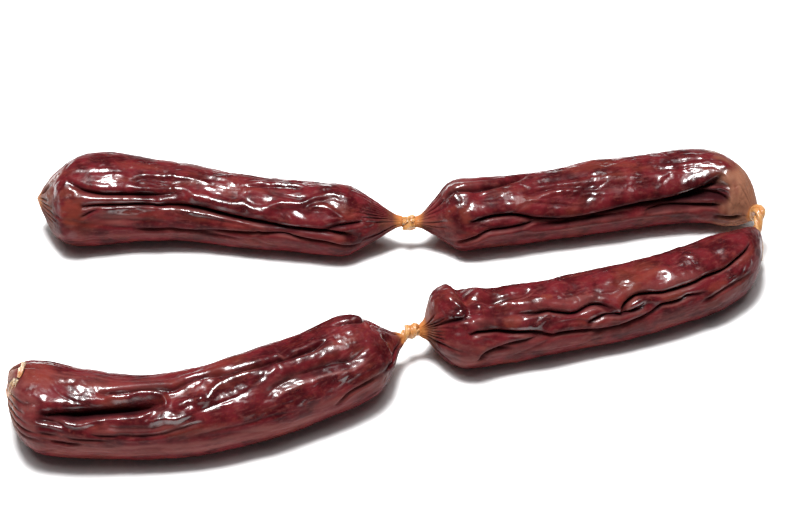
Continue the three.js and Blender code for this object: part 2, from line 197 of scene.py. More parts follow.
# The folds and ridges that shrinkage pulled into each link.
FOLDS = {
    "link_1": [
        crease(1.9, 1.0, 0.5, 0.3, 0.8, 1.0, [
            (0.14, 64), (0.155, 63, 0.4), (0.18, 56, 0.7), (0.205, 52, 0.9), (0.24, 49), (0.285, 48.5),
            (0.335, 49.5), (0.38, 51, 0.7), (0.41, 54, 0.5), (0.435, 53),
        ]),
        ridge(0.6, 0.85, [
            (0.155, 43), (0.17, 43, 0.7), (0.205, 42), (0.255, 41), (0.305, 41.5), (0.335, 40.5),
            (0.375, 40, 0.6), (0.39, 40),
        ]),
        crease(1.4, 0.85, 0.3, 0.3, 0.5, 0.9, [
            (0.18, 31), (0.19, 32, 0.5), (0.22, 34.5), (0.255, 34), (0.295, 34.5), (0.325, 35.5),
            (0.355, 35.5), (0.385, 35, 0.6), (0.4, 34),
        ]),
        crease(3.4, 1.5, 0.5, 0.4, 1.1, 1.0, [
            (0.365, 34), (0.38, 36, 0.5), (0.41, 38, 0.7), (0.44, 40, 0.8), (0.485, 40, 1.1),
            (0.51, 38.5, 1.2), (0.54, 36, 1.2), (0.59, 32, 1.2), (0.64, 29), (0.695, 24, 0.8),
            (0.745, 24, 0.8), (0.795, 23.5, 0.8), (0.845, 19, 0.6), (0.88, 10),
        ]),
        ridge(0.55, 0.75, [
            (0.32, 31), (0.33, 31, 0.6), (0.41, 31, 0.8), (0.46, 30), (0.51, 28.5), (0.575, 24),
            (0.65, 20, 0.8), (0.7, 17, 0.7), (0.78, 17, 0.7), (0.85, 14, 0.4), (0.88, 10),
        ]),
        crease(0.9, 0.7, 0.2, 0.3, 0.2, 0.7, [
            (0.175, 17), (0.19, 20, 0.8), (0.205, 24), (0.22, 27, 0.8), (0.235, 29),
        ]),
        crease(0.9, 0.8, 0.2, 0.3, 0.3, 0.7, [
            (0.31, -5), (0.325, -5, 0.6), (0.36, -4), (0.405, -2.5), (0.455, -3), (0.51, -3, 0.7),
            (0.54, -4),
        ]),
        crease(1.4, 1.0, 0.45, 0.2, 0.7, 0.8, [
            (0.47, -1), (0.49, 1, 0.5), (0.54, 4, 0.9), (0.59, 6), (0.64, 9), (0.69, 12), (0.72, 9),
            (0.76, 5), (0.81, 2, 0.9), (0.87, -12, 0.5), (0.89, -16),
        ]),
        crease(0.7, 0.7, 0.2, 0.2, 0.2, 0.6, [(0.47, -8), (0.5, -8, 0.8), (0.55, -8, 0.8), (0.6, -10)]),
        ridge(0.5, 0.75, [
            (0.3, 66), (0.315, 74, 0.8), (0.34, 78), (0.38, 80.5), (0.405, 82), (0.435, 82),
            (0.47, 80, 0.8), (0.505, 74),
        ]),
        ridge(0.5, 0.75, [
            (0.295, 64), (0.31, 58, 0.8), (0.335, 57), (0.365, 59), (0.385, 62.5), (0.405, 65, 0.6),
            (0.42, 66),
        ]),
        ridge(0.3, 0.5, [(0.325, 66), (0.335, 66), (0.365, 67), (0.385, 67.5), (0.395, 67)]),
        ridge(0.75, 0.95, [
            (0.405, 65), (0.415, 64, 0.8), (0.44, 62.5), (0.46, 56), (0.49, 55.5), (0.51, 53),
            (0.54, 50), (0.57, 50), (0.59, 52), (0.61, 46), (0.635, 45.5), (0.65, 48.5), (0.665, 54),
            (0.685, 59), (0.7, 60), (0.735, 63), (0.75, 69), (0.765, 74), (0.785, 79), (0.8, 83, 0.9),
            (0.835, 82, 0.7), (0.865, 79),
        ]),
        ridge(0.65, 0.8, [
            (0.74, 54), (0.755, 56, 0.8), (0.77, 60), (0.79, 60), (0.81, 55), (0.835, 46, 0.8),
            (0.85, 42),
        ]),
        crease(1.5, 0.9, 0.3, 0.3, 0.5, 1.0, [
            (0.775, 27), (0.79, 29, 0.6), (0.81, 33), (0.845, 36), (0.875, 38.5, 0.9), (0.9, 40),
        ]),
        crease(1.0, 0.9, 0.4, 0.1, 0.3, 0.6, [
            (0.58, 84), (0.6, 86, 0.6), (0.63, 90), (0.685, 94), (0.72, 95, 0.8), (0.735, 88),
        ]),
        ridge(0.5, 1.5, [
            (0.124, -30), (0.131, -12, 0.8), (0.137, 10), (0.139, 30), (0.137, 50, 0.9),
            (0.128, 64, 0.5), (0.118, 75),
        ]),
        crease(1.2, 1.1, 0.5, 0.3, 0.4, 0.7, [
            (0.2, 160), (0.3, 156), (0.42, 150), (0.55, 154, 0.9), (0.68, 148, 0.8), (0.8, 150),
        ]),
        crease(1.6, 1.3, 0.5, 0.3, 0.6, 0.8, [
            (0.16, 192), (0.28, 190), (0.4, 184), (0.52, 188), (0.66, 182, 0.9), (0.82, 186),
        ]),
    ],
    "link_2": [
        crease(2.3, 1.5, 0.6, 0.1, 1.5, 1.0, [
            (0.15, 26), (0.165, 30, 0.5), (0.19, 36, 0.9), (0.21, 39.5), (0.25, 40), (0.28, 37.5),
            (0.3, 33, 0.9), (0.32, 28, 0.8), (0.36, 23, 0.9), (0.4, 20), (0.45, 19), (0.5, 20),
            (0.55, 23), (0.6, 25.6), (0.65, 26), (0.7, 28.5), (0.75, 36), (0.8, 49, 0.9),
            (0.83, 58, 0.5), (0.85, 62),
        ]),
        crease(2.6, 2.3, 0.0, 0.1, 0.0, 1.0, [
            (0.58, 19), (0.62, 20, 0.5), (0.68, 21, 0.9), (0.74, 26, 1.2), (0.8, 28, 1.2),
            (0.85, 24, 0.8), (0.88, 22),
        ]),
        crease(1.4, 1.1, 0.2, 0.3, 0.2, 1.0, [
            (0.76, 43), (0.79, 44, 0.9), (0.84, 47, 0.8), (0.88, 48),
        ]),
        crease(0.8, 0.7, 0.2, 0.3, 0.1, 0.8, [(0.81, 35), (0.84, 36, 0.8), (0.87, 37)]),
        ridge(0.75, 0.85, [
            (0.6, 8), (0.615, 9, 0.6), (0.64, 15, 0.9), (0.66, 18), (0.7, 15.7), (0.75, 13.5),
            (0.8, 15), (0.82, 17, 0.5), (0.84, 18),
        ]),
        crease(1.6, 1.1, 0.1, 0.2, 0.2, 1.0, [
            (0.61, 4), (0.64, 8, 0.8), (0.7, 9), (0.75, 8), (0.8, 8), (0.83, 8, 0.5), (0.85, 9),
        ]),
        crease(1.2, 0.8, 0.4, 0.3, 0.5, 0.9, [
            (0.12, -12), (0.14, -5, 0.8), (0.17, 3), (0.2, 12), (0.25, 14), (0.3, 17, 0.9), (0.335, 21),
        ]),
        ridge(0.85, 1.1, [
            (0.11, -24), (0.12, -22, 0.6), (0.15, -14), (0.2, 1), (0.25, 6), (0.3, 7), (0.35, 1),
            (0.4, 1), (0.45, 2), (0.5, 0), (0.6, 0), (0.65, 0), (0.7, -2), (0.735, -2), (0.76, -6),
            (0.78, -18, 0.6), (0.8, -24),
        ]),
        crease(1.0, 0.9, 0.1, 0.2, 0.2, 0.8, [
            (0.29, 13), (0.33, 9, 0.8), (0.38, 8, 0.9), (0.44, 9, 0.8), (0.52, 8, 0.8), (0.6, 7),
        ]),
        crease(1.7, 1.1, 0.6, 0.2, 0.7, 0.8, [
            (0.09, 88), (0.1, 88, 0.5), (0.15, 87), (0.2, 89), (0.25, 94), (0.3, 108, 0.9), (0.33, 122),
        ]),
        crease(0.8, 1.3, 0.2, 0.2, 0.0, 0.35, [
            (0.32, 84), (0.34, 84, 0.7), (0.38, 86), (0.42, 84), (0.46, 82, 0.6), (0.5, 80),
        ]),
        crease(1.1, 1.3, 0.3, 0.3, 0.2, 0.55, [
            (0.3, 64), (0.32, 66, 0.7), (0.35, 70), (0.4, 72), (0.45, 65, 0.8), (0.5, 62, 0.6),
            (0.55, 56, 0.5), (0.58, 52),
        ]),
        ridge(0.65, 0.95, [
            (0.34, 61), (0.36, 63, 0.8), (0.38, 65), (0.42, 62), (0.45, 61, 0.8), (0.46, 60),
        ]),
        crease(0.9, 1.2, 0.3, 0.3, 0.1, 0.45, [
            (0.66, 90), (0.69, 87, 0.8), (0.73, 86), (0.77, 86, 0.8), (0.8, 88),
        ]),
        crease(0.8, 1.0, 0.2, 0.2, 0.1, 0.5, [
            (0.44, 60), (0.47, 57, 0.8), (0.51, 53, 0.8), (0.56, 50),
        ]),
        crease(1.1, 0.8, 0.3, 0.4, 0.3, 0.9, [
            (0.81, -12), (0.84, -10, 0.7), (0.88, -8), (0.93, -6), (0.965, -3),
        ]),
        crease(1.5, 1.3, 0.5, 0.3, 0.5, 0.8, [
            (0.14, 150), (0.24, 156), (0.38, 150), (0.5, 158, 0.9), (0.64, 152), (0.8, 160),
        ]),
        crease(1.3, 1.1, 0.4, 0.3, 0.4, 0.7, [
            (0.3, 186), (0.42, 182), (0.56, 188), (0.7, 184, 0.8), (0.84, 190),
        ]),
    ],
    "link_3": [
        crease(2.5, 1.3, 0.4, 0.4, 1.2, 1.0, [
            (0.13, 31), (0.14, 34, 0.5), (0.16, 39, 0.9), (0.19, 41, 1.1), (0.21, 41, 1.1), (0.23, 37),
            (0.25, 34), (0.28, 30.5, 0.9), (0.3, 27, 0.8), (0.32, 22, 0.6), (0.335, 19),
        ]),
        crease(1.7, 1.1, 0.4, 0.2, 0.9, 0.9, [
            (0.31, 20), (0.33, 18, 0.6), (0.36, 19), (0.4, 15, 0.9), (0.43, 12.5, 0.8), (0.45, 10, 0.8),
            (0.5, 11), (0.55, 16, 0.8), (0.575, 21, 0.8), (0.6, 29), (0.63, 28), (0.65, 29),
            (0.67, 32, 0.8), (0.7, 29, 0.6), (0.73, 26),
        ]),
        crease(2.0, 1.1, 0.6, 0.3, 0.9, 1.0, [
            (0.25, 59), (0.27, 58, 0.4), (0.3, 57, 0.7), (0.33, 58), (0.35, 54, 1.1), (0.38, 48, 1.1),
            (0.4, 48), (0.42, 52, 0.9), (0.44, 54, 0.9), (0.46, 49, 0.8), (0.48, 41, 0.7), (0.495, 35),
        ]),
        crease(1.5, 1.0, 0.4, 0.4, 0.7, 1.0, [
            (0.415, 22), (0.425, 27, 0.7), (0.44, 31), (0.46, 34), (0.48, 32), (0.5, 30),
            (0.53, 31, 0.9), (0.55, 33, 0.7), (0.565, 34),
        ]),
        crease(2.7, 1.25, 0.6, 0.3, 1.3, 1.0, [
            (0.5, 33), (0.505, 37, 0.6), (0.51, 43, 0.9), (0.52, 49), (0.54, 55), (0.56, 56, 1.1),
            (0.59, 52, 1.1), (0.61, 49), (0.635, 49), (0.66, 50, 1.1), (0.695, 52, 1.1),
            (0.73, 57, 1.1), (0.765, 57, 1.1), (0.79, 57, 1.1), (0.82, 60), (0.86, 64, 0.7),
            (0.885, 66),
        ]),
        ridge(0.65, 0.75, [
            (0.515, 36), (0.53, 40, 0.8), (0.55, 43), (0.57, 41), (0.59, 38, 0.6), (0.6, 37),
        ]),
        crease(1.3, 0.9, 0.4, 0.2, 0.6, 0.8, [
            (0.15, -14), (0.16, -8, 0.8), (0.17, 3), (0.2, 10), (0.24, 15, 0.9), (0.28, 17, 0.8),
            (0.32, 18),
        ]),
        crease(1.0, 0.8, 0.3, 0.3, 0.3, 0.7, [
            (0.7, 14), (0.72, 16, 0.7), (0.75, 20, 0.9), (0.78, 23, 0.8), (0.83, 22, 0.6), (0.86, 22),
        ]),
        ridge(0.8, 1.0, [
            (0.19, 60), (0.2, 68, 0.7), (0.22, 76), (0.26, 73.5), (0.3, 74), (0.33, 75),
            (0.345, 77, 0.6), (0.36, 78),
        ]),
        crease(1.2, 1.5, 0.2, 0.2, 0.0, 0.45, [
            (0.16, 88), (0.18, 88, 0.7), (0.24, 90), (0.28, 92), (0.3, 99, 0.8), (0.31, 106),
        ]),
        ridge(0.7, 1.0, [
            (0.1, 96), (0.106, 88, 0.7), (0.114, 80), (0.123, 72), (0.13, 66, 0.8), (0.132, 60),
        ]),
        crease(1.4, 0.9, 0.3, 0.3, 0.4, 1.0, [
            (0.03, 46), (0.06, 49, 0.6), (0.1, 52), (0.12, 54), (0.135, 58, 0.6), (0.145, 62),
        ]),
        crease(0.4, 0.45, 0.1, 0.1, 0.0, 0.5, [(0.145, 51), (0.16, 50), (0.19, 49), (0.215, 47)]),
        crease(0.4, 0.45, 0.1, 0.1, 0.0, 0.5, [(0.15, 46), (0.17, 46), (0.2, 45), (0.22, 44)]),
        crease(0.7, 0.8, 0.1, 0.2, 0.1, 0.8, [(0.19, 6), (0.205, 7), (0.225, 6, 0.9), (0.245, 5)]),
        crease(1.3, 1.1, 0.4, 0.3, 0.4, 0.7, [
            (0.2, 152), (0.32, 158), (0.46, 152), (0.6, 156, 0.9), (0.72, 150), (0.86, 154),
        ]),
        crease(1.5, 1.2, 0.5, 0.3, 0.5, 0.8, [
            (0.14, 192), (0.28, 184), (0.42, 190), (0.58, 184), (0.7, 190),
        ]),
    ],
    "link_4": [
        crease(3.6, 1.8, 0.5, 0.2, 0.4, 1.0, [
            (0.13, 38), (0.15, 40, 0.6), (0.18, 44, 0.9), (0.2, 46), (0.22, 47, 1.1), (0.25, 51, 1.2),
            (0.28, 55, 1.2), (0.31, 58, 1.2), (0.35, 60), (0.38, 61, 0.7), (0.405, 61),
        ]),
        ridge(0.85, 0.8, [
            (0.18, 40), (0.19, 39, 0.8), (0.2, 36), (0.215, 34), (0.235, 34), (0.25, 38), (0.27, 43),
            (0.3, 46), (0.33, 46), (0.35, 46.5), (0.365, 51), (0.38, 57), (0.395, 58, 0.8), (0.41, 60),
        ]),
        crease(1.0, 0.6, 0.1, 0.6, 0.2, 0.9, [
            (0.125, 32), (0.14, 33, 0.8), (0.17, 33), (0.19, 32, 0.6), (0.2, 31),
        ]),
        crease(1.7, 1.1, 0.5, 0.4, 0.6, 0.75, [
            (0.26, 76), (0.275, 79, 0.6), (0.3, 83), (0.33, 87), (0.36, 89), (0.4, 88), (0.42, 86, 0.9),
            (0.44, 92, 0.9), (0.46, 97, 0.9), (0.5, 98, 0.9), (0.55, 90.5, 0.9), (0.6, 88.5, 0.9),
            (0.65, 87.5), (0.7, 85.5), (0.74, 84.5, 0.9), (0.78, 88),
        ]),
        ridge(0.8, 0.75, [
            (0.28, 73), (0.29, 74, 0.8), (0.31, 73), (0.33, 75), (0.35, 79), (0.37, 79), (0.39, 77),
            (0.4, 74), (0.405, 68), (0.407, 62, 0.6), (0.41, 58),
        ]),
        ridge(0.55, 0.7, [(0.464, 54), (0.474, 62, 0.9), (0.48, 68, 0.9), (0.482, 76)]),
        ridge(0.85, 1.0, [
            (0.37, 40), (0.38, 42, 0.9), (0.4, 44), (0.42, 41), (0.44, 44), (0.455, 48, 0.8),
            (0.465, 52),
        ]),
        ridge(0.8, 1.1, [(0.42, 55), (0.435, 58), (0.455, 62), (0.475, 62, 0.8), (0.49, 61)]),
        ridge(0.85, 1.2, [
            (0.46, 52), (0.475, 57, 0.9), (0.49, 62), (0.505, 70), (0.52, 76), (0.55, 79), (0.58, 77),
            (0.6, 75, 0.8), (0.62, 73, 0.6), (0.64, 75, 0.6), (0.66, 74),
        ]),
        crease(0.7, 0.8, 0.2, 0.3, 0.2, 0.55, [
            (0.28, 34), (0.3, 33, 0.7), (0.34, 31, 0.9), (0.38, 31, 0.8), (0.42, 35),
        ]),
        crease(0.8, 0.8, 0.2, 0.3, 0.2, 0.6, [
            (0.3, 26), (0.33, 22, 0.8), (0.37, 21, 0.9), (0.41, 24, 0.8), (0.45, 29, 0.7), (0.48, 31),
        ]),
        crease(0.8, 0.55, 0.2, 0.3, 0.2, 0.8, [(0.16, 9), (0.18, 7, 0.9), (0.21, 6, 0.8), (0.24, 8)]),
        crease(0.7, 0.5, 0.2, 0.2, 0.2, 0.8, [(0.2, 15), (0.22, 14, 0.9), (0.26, 14, 0.9), (0.3, 16)]),
        crease(0.7, 0.5, 0.2, 0.3, 0.2, 0.8, [
            (0.25, 22), (0.27, 21, 0.9), (0.29, 21, 0.9), (0.32, 22),
        ]),
        crease(0.6, 0.5, 0.2, 0.2, 0.1, 0.7, [
            (0.13, 18), (0.15, 17, 0.9), (0.17, 17, 0.8), (0.19, 18),
        ]),
        crease(1.6, 2.0, 0.4, 0.3, 0.3, 0.6, [
            (0.59, 40), (0.61, 45, 0.7), (0.63, 52), (0.65, 55), (0.68, 58), (0.7, 57.5, 1.1),
            (0.73, 56), (0.76, 53), (0.79, 49), (0.81, 49, 0.9), (0.83, 51, 0.5), (0.85, 52),
        ]),
        crease(1.1, 1.2, 0.3, 0.3, 0.2, 0.5, [
            (0.655, 112), (0.665, 104, 0.8), (0.675, 96, 0.9), (0.69, 88),
        ]),
        crease(1.0, 0.8, 0.3, 0.3, 0.3, 0.7, [
            (0.74, -2), (0.76, 4, 0.7), (0.78, 10, 0.9), (0.82, 13, 0.9), (0.86, 14),
        ]),
        crease(1.3, 0.8, 0.4, 0.3, 0.4, 0.8, [
            (0.79, 108), (0.82, 102, 0.8), (0.86, 97), (0.89, 100, 0.9), (0.91, 108),
        ]),
        ridge(0.8, 0.8, [(0.84, 118), (0.855, 110, 0.9), (0.87, 100), (0.877, 88), (0.88, 76)]),
        ridge(0.6, 0.9, [
            (0.895, 74), (0.9, 62, 0.8), (0.905, 46), (0.905, 28), (0.9, 10, 0.8), (0.895, -4),
        ]),
        crease(1.4, 1.2, 0.5, 0.3, 0.5, 0.8, [
            (0.16, 160), (0.28, 154), (0.4, 160), (0.54, 152), (0.68, 158, 0.9), (0.82, 150),
        ]),
        crease(1.2, 1.0, 0.4, 0.3, 0.4, 0.7, [
            (0.24, 190), (0.36, 184), (0.5, 190), (0.64, 184, 0.9), (0.78, 188),
        ]),
    ],
}

# Broad dents (mm deep) and lumps (below zero): (share, degrees, depth, half length, half width).
DENTS = {
    "link_1": [
        (0.265, 69, -0.9, 4.5, 4), (0.785, 99, -0.7, 4, 2.5), (0.385, 71, 1.4, 8.5, 2.7),
        (0.70, 42, 0.8, 6, 3), (0.26, 14, 0.8, 8, 2.4), (0.17, -6, -0.6, 3, 4), (0.22, 120, -0.8, 9, 6),
        (0.55, 72, 0.5, 7, 3), (0.085, 18, 1.0, 4, 7),
    ],
    "link_2": [
        (0.125, 72, -0.6, 3, 6), (0.19, 77, 0.9, 2.5, 2.5), (0.635, 79, 0.7, 4, 3),
        (0.2, 115, -0.6, 8, 5), (0.42, 50, 0.5, 7, 3), (0.78, 66, -0.5, 5, 4), (0.84, 75, -0.6, 4, 5),
        (0.6, 92, 0.7, 3, 2.5), (0.67, 76, 0.7, 2.5, 2), (0.55, 104, 0.6, 3, 2.5),
        (0.72, 97, 0.7, 3, 2.5), (0.73, 70, 0.6, 2, 2.5),
    ],
    "link_3": [
        (0.08, 102, -1.7, 5.5, 7), (0.15, 118, 2.8, 2.4, 7), (0.19, 108, -1.1, 4, 4),
        (0.148, 84, 1.7, 2.2, 6), (0.21, 88, 1.1, 2.6, 2.2), (0.175, 74, -0.9, 2, 2),
        (0.145, 60, 0.8, 2.2, 2.2), (0.24, 66, 0.7, 3, 2), (0.17, 52, -0.6, 2.4, 1.8),
        (0.33, 92, 0.8, 4, 3), (0.4, 84, 0.7, 3, 2.2), (0.45, 98, 0.8, 3.5, 2.5),
        (0.5, 84, -0.6, 2.5, 2), (0.56, 97, 0.9, 3, 2.5), (0.37, 106, -0.6, 3, 3),
        (0.78, 70, 0.7, 2, 4), (0.665, 90, 1.0, 2.5, 4), (0.61, 65, 0.7, 3, 2.2),
        (0.715, 88, -0.7, 3, 3), (0.655, 70, -0.6, 5, 4), (0.1, -5, -0.6, 5, 5),
    ],
    "link_4": [
        (0.235, 92, -0.7, 6, 3), (0.17, 75, 0.5, 4, 4), (0.36, 68, 0.9, 6, 1.8), (0.44, 76, 0.8, 5, 3),
        (0.55, 60, 0.7, 6, 3), (0.81, 78, -0.5, 5, 4), (0.84, 108, -0.8, 5, 5), (0.55, 116, -0.8, 6, 4),
    ],
}

# Where fat has sweated through: crumpled, shiny skin at (share, degrees, half length, half width).
WET = {
    "link_1": [
        (0.265, 68, 3, 3), (0.14, 95, 1.5, 7), (0.16, -8, 2, 2), (0.15, 70, 1.5, 5), (0.30, 41, 5, 0.9),
        (0.09, 88, 4, 3), (0.11, 62, 2, 3), (0.42, 24, 9, 1.6), (0.3, 24, 6, 1.4), (0.46, 30, 5, 0.8),
        (0.60, 50, 2, 1.5), (0.64, 46, 1.5, 1), (0.755, 56, 1.5, 1), (0.78, 60, 2.5, 1.2),
        (0.75, 38, 3, 0.9), (0.785, 99, 2.5, 3), (0.57, 85, 4, 4), (0.515, 100, 4, 4),
        (0.385, 98, 5, 1.4), (0.50, 55, 2.5, 1), (0.44, 63, 2, 1.2), (0.34, 78, 2, 1),
        (0.82, 83, 2.5, 1.5), (0.68, 98, 3, 1.5), (0.2, 95, 3, 2), (0.9, 75, 2, 3),
    ],
    "link_2": [
        (0.125, 80, 2.5, 5), (0.14, 64, 3.5, 3.5), (0.155, 52, 3, 2.5), (0.20, 82, 1, 2),
        (0.335, 90, 5, 2.5), (0.40, 63, 3.5, 1.2), (0.44, 61, 2.5, 1.2), (0.485, 46, 3, 2),
        (0.495, 75, 1.5, 1.5), (0.52, 69, 1.5, 2), (0.53, 79, 1.5, 1.5), (0.54, 100, 3, 2),
        (0.59, 92, 2, 1.5), (0.60, 64, 2, 2), (0.58, 49, 1.5, 1.5), (0.61, 107, 1.5, 1),
        (0.66, 56, 1, 1.5), (0.68, 68, 4, 4.5), (0.67, 108, 2, 1.5), (0.72, 110, 3.5, 1.5),
        (0.74, 60, 2.5, 4), (0.73, 42, 3, 2), (0.78, 66, 3.5, 3), (0.80, 82, 4.5, 2),
        (0.83, 74, 3.5, 2),
    ],
    "link_3": [
        (0.185, 107, 4, 2.5), (0.165, 88, 2, 1.5), (0.12, 78, 1.2, 5), (0.185, 72, 1.5, 1.5),
        (0.20, 67, 1, 2), (0.27, 74, 8, 1.5), (0.30, 96, 1.5, 3), (0.29, 46, 7, 2.2), (0.38, 112, 4, 2),
        (0.44, 86, 1.5, 1.5), (0.37, 75, 1.5, 1.2), (0.40, 63, 1.2, 1.2), (0.49, 104, 3.5, 1.5),
        (0.53, 80, 3, 3), (0.655, 72, 6, 3.5), (0.63, 66, 3, 3), (0.715, 88, 3.5, 3.5),
        (0.71, 110, 1.5, 1.5), (0.775, 82, 1.2, 3), (0.81, 100, 1.5, 2), (0.84, 46, 4, 2.5),
        (0.79, 36, 3, 1.5), (0.67, 38, 1, 1.5), (0.55, 35, 2, 1), (0.685, 23, 4, 0.8),
        (0.14, 52, 1.3, 1.2),
    ],
    "link_4": [
        (0.235, 92, 6, 2.2), (0.275, 88, 2, 3), (0.19, 62, 2, 1.5), (0.22, 64, 1.2, 1),
        (0.15, 60, 1.5, 1), (0.31, 73, 2.5, 1.5), (0.35, 78, 5, 1.2), (0.30, 46, 9, 0.9),
        (0.23, 34, 4, 0.9), (0.385, 57, 3, 1), (0.16, 30, 3, 0.8), (0.41, 43, 5, 1.8),
        (0.455, 61, 4, 2), (0.48, 100, 4, 1.2), (0.49, 62, 3.5, 2.2), (0.52, 74, 4, 2.8),
        (0.56, 78, 3.5, 1.5), (0.61, 72, 1.8, 2), (0.64, 75, 2.2, 2.2), (0.24, 84, 5, 3),
        (0.12, 62, 2, 3), (0.5, 46, 3, 2.5), (0.45, 36, 4, 1.5), (0.84, 58, 5, 2), (0.8, 40, 4, 2),
        (0.555, 45, 4, 3), (0.62, 43, 2.5, 1.2), (0.67, 45, 3, 1.8), (0.68, 22, 2, 1),
        (0.74, 100, 1.5, 1), (0.78, 92, 3, 1), (0.785, 74, 1.5, 1), (0.83, 78, 6, 3.8),
        (0.84, 107, 2, 3), (0.745, 48, 3, 1), (0.765, 31, 5, 1.6), (0.80, 34, 2, 1.5),
        (0.82, 48, 3, 1.2),
    ],
}

# Patches of dry pinkish-grey skin, and along the lower sides a painted reflection of the white table:
# (share, degrees, half length, half width, strength).
PALE_SKIN_AND_REFLECTION = {
    "link_1": [
        (0.265, 14, 8, 3, 0.6), (0.5, -14, 35, 2.0, 0.3), (0.22, 42, 5, 2, 0.3),
        (0.5, 120, 20, 3, 0.25),
    ],
    "link_2": [
        (0.45, -1, 42, 1.5, 0.4), (0.09, 5, 6, 5, 0.5), (0.78, -8, 6, 4, 0.4), (0.13, 105, 10, 3, 0.35),
        (0.45, 21, 24, 0.9, 0.5), (0.7, 14, 8, 0.8, 0.5),
    ],
    "link_3": [
        (0.25, 3, 14, 4, 0.45), (0.11, -8, 6, 6, 0.6), (0.18, 46, 5, 2.6, 0.5),
        (0.36, 62, 16, 1.8, 0.5), (0.79, 10, 9, 3.2, 0.4), (0.55, 2, 32, 2.2, 0.3),
        (0.62, 60, 16, 1.2, 0.45),
    ],
    "link_4": [
        (0.05, 30, 6, 16, 1.0), (0.1, 25, 5, 14, 0.7), (0.4, -7, 50, 3.0, 0.8), (0.65, 54, 8, 2.4, 0.4),
        (0.78, 6, 12, 3.2, 0.6), (0.36, 29, 14, 1.8, 0.4), (0.2, 14, 12, 1.6, 0.45),
        (0.3, 98, 22, 3.0, 0.5),
    ],
}

# Patches where browned fat lies close under the skin, laid out in the same way.
RUSTY = {
    "link_1": [
        (0.165, 28, 4, 5, 0.9), (0.16, 52, 4, 2, 0.6), (0.6, 12, 8, 3, 0.4), (0.35, 20, 8, 2, 0.4),
    ],
    "link_2": [
        (0.145, 42, 2, 3, 0.9), (0.3, 55, 5, 2, 0.5), (0.5, 105, 10, 3, 0.7), (0.59, 92, 3, 2, 0.6),
    ],
    "link_3": [
        (0.335, 77, 2, 1.2, 1), (0.24, 50, 3, 1.6, 0.7), (0.52, 60, 5, 5, 0.5), (0.57, 92, 8, 5, 0.5),
        (0.63, 40, 5, 1.5, 0.7), (0.75, 30, 4, 1.5, 0.6), (0.05, 80, 4, 6, 0.5),
    ],
    "link_4": [
        (0.13, 95, 5, 6, 0.6), (0.3, 68, 4, 1.5, 0.6), (0.55, 108, 8, 3, 0.5), (0.45, 20, 10, 2, 0.3),
    ],
}

# How each link closes at its left and right end: pleats round it, their depth and reach in mm,
# how far bare amber casing and thin tan skin reach from the tip in mm, and how strong the tan is.
ENDS = {
    "link_1": [
        {"pleats": 21, "depth": 1.1, "reach": 18, "amber": 3.4, "tan": 15, "strength": 0.35},
        {"pleats": 23, "depth": 1.0, "reach": 20, "amber": 2.2, "tan": 7, "strength": 0.35},
    ],
    "link_2": [
        {"pleats": 21, "depth": 1.1, "reach": 19, "amber": 2.2, "tan": 6, "strength": 0.35},
        {"pleats": 15, "depth": 0.35, "reach": 19, "amber": 1.6, "tan": 21, "strength": 1.0},
    ],
    "link_3": [
        {"pleats": 21, "depth": 1.2, "reach": 20, "amber": 2.6, "tan": 8, "strength": 0.45},
        {"pleats": 15, "depth": 0.5, "reach": 12, "amber": 1.2, "tan": 4, "strength": 0.2},
    ],
    "link_4": [
        {"pleats": 17, "depth": 1.0, "reach": 21, "amber": 3.5, "tan": 10, "strength": 0.75},
        {"pleats": 19, "depth": 1.3, "reach": 20, "amber": 1.8, "tan": 5, "strength": 0.25},
    ],
}

# Necks of wrung casing: the links they join and at which end (0 left, 1 right), how the middle
# strays from the straight line in mm, the radius along it, and how often it is wrung.
NECKS = {
    "twist_1_2": {
        "joins": (("link_1", 1), ("link_2", 0)),
        "stray": [(0, -0.2, -0.3), (0, -0.4, -0.7), (0, 0.2, -0.1)],
        "radii": [1.9, 1.4, 1.7, 2.2, 1.9, 1.4, 1.9],
        "turns": 1.5,
    },
    "twist_2_3": {
        "joins": (("link_2", 1), ("link_3", 1)),
        "stray": [(0.5, 0.3, 3.4), (1.0, 0.2, 4.6), (0.9, 0.2, 2.7)],
        "radii": [1.8, 1.6, 1.8, 1.5, 1.3, 1.7],
        "turns": 1.5,
    },
    "twist_3_4": {
        "joins": (("link_4", 1), ("link_3", 0)),
        "stray": [(0, 0.2, 0.8), (0, 0.9, 0.8)],
        "radii": [1.9, 1.3, 1.6, 2.1, 1.9, 1.4, 1.9],
        "turns": 1.4,
    },
}

# Cut tails of casing at the two free ends: the path out of the link's left tip in mm, the radius
# along it, and how often it is wrung.
TAILS = {
    "tail_1": {
        "link": "link_1",
        "way": [(1.6, 0, -0.1), (1.0, 0, 0), (0.5, 0.1, 0.1), (0.1, 0.1, 0.3), (-0.3, 0.1, 0.5)],
        "radii": [1.2, 1.1, 1.0, 0.8, 0.5],
        "turns": 0.5,
    },
    "tail_4": {
        "link": "link_4",
        "way": [(1.9, -0.2, 0), (1.2, 0, 0), (0.6, 0.1, 0.2), (0, 0.2, 0.4), (-0.6, 0.3, 0.5)],
        "radii": [2.4, 2.6, 2.7, 2.3, 1.4],
        "turns": 0.35,
    },
}

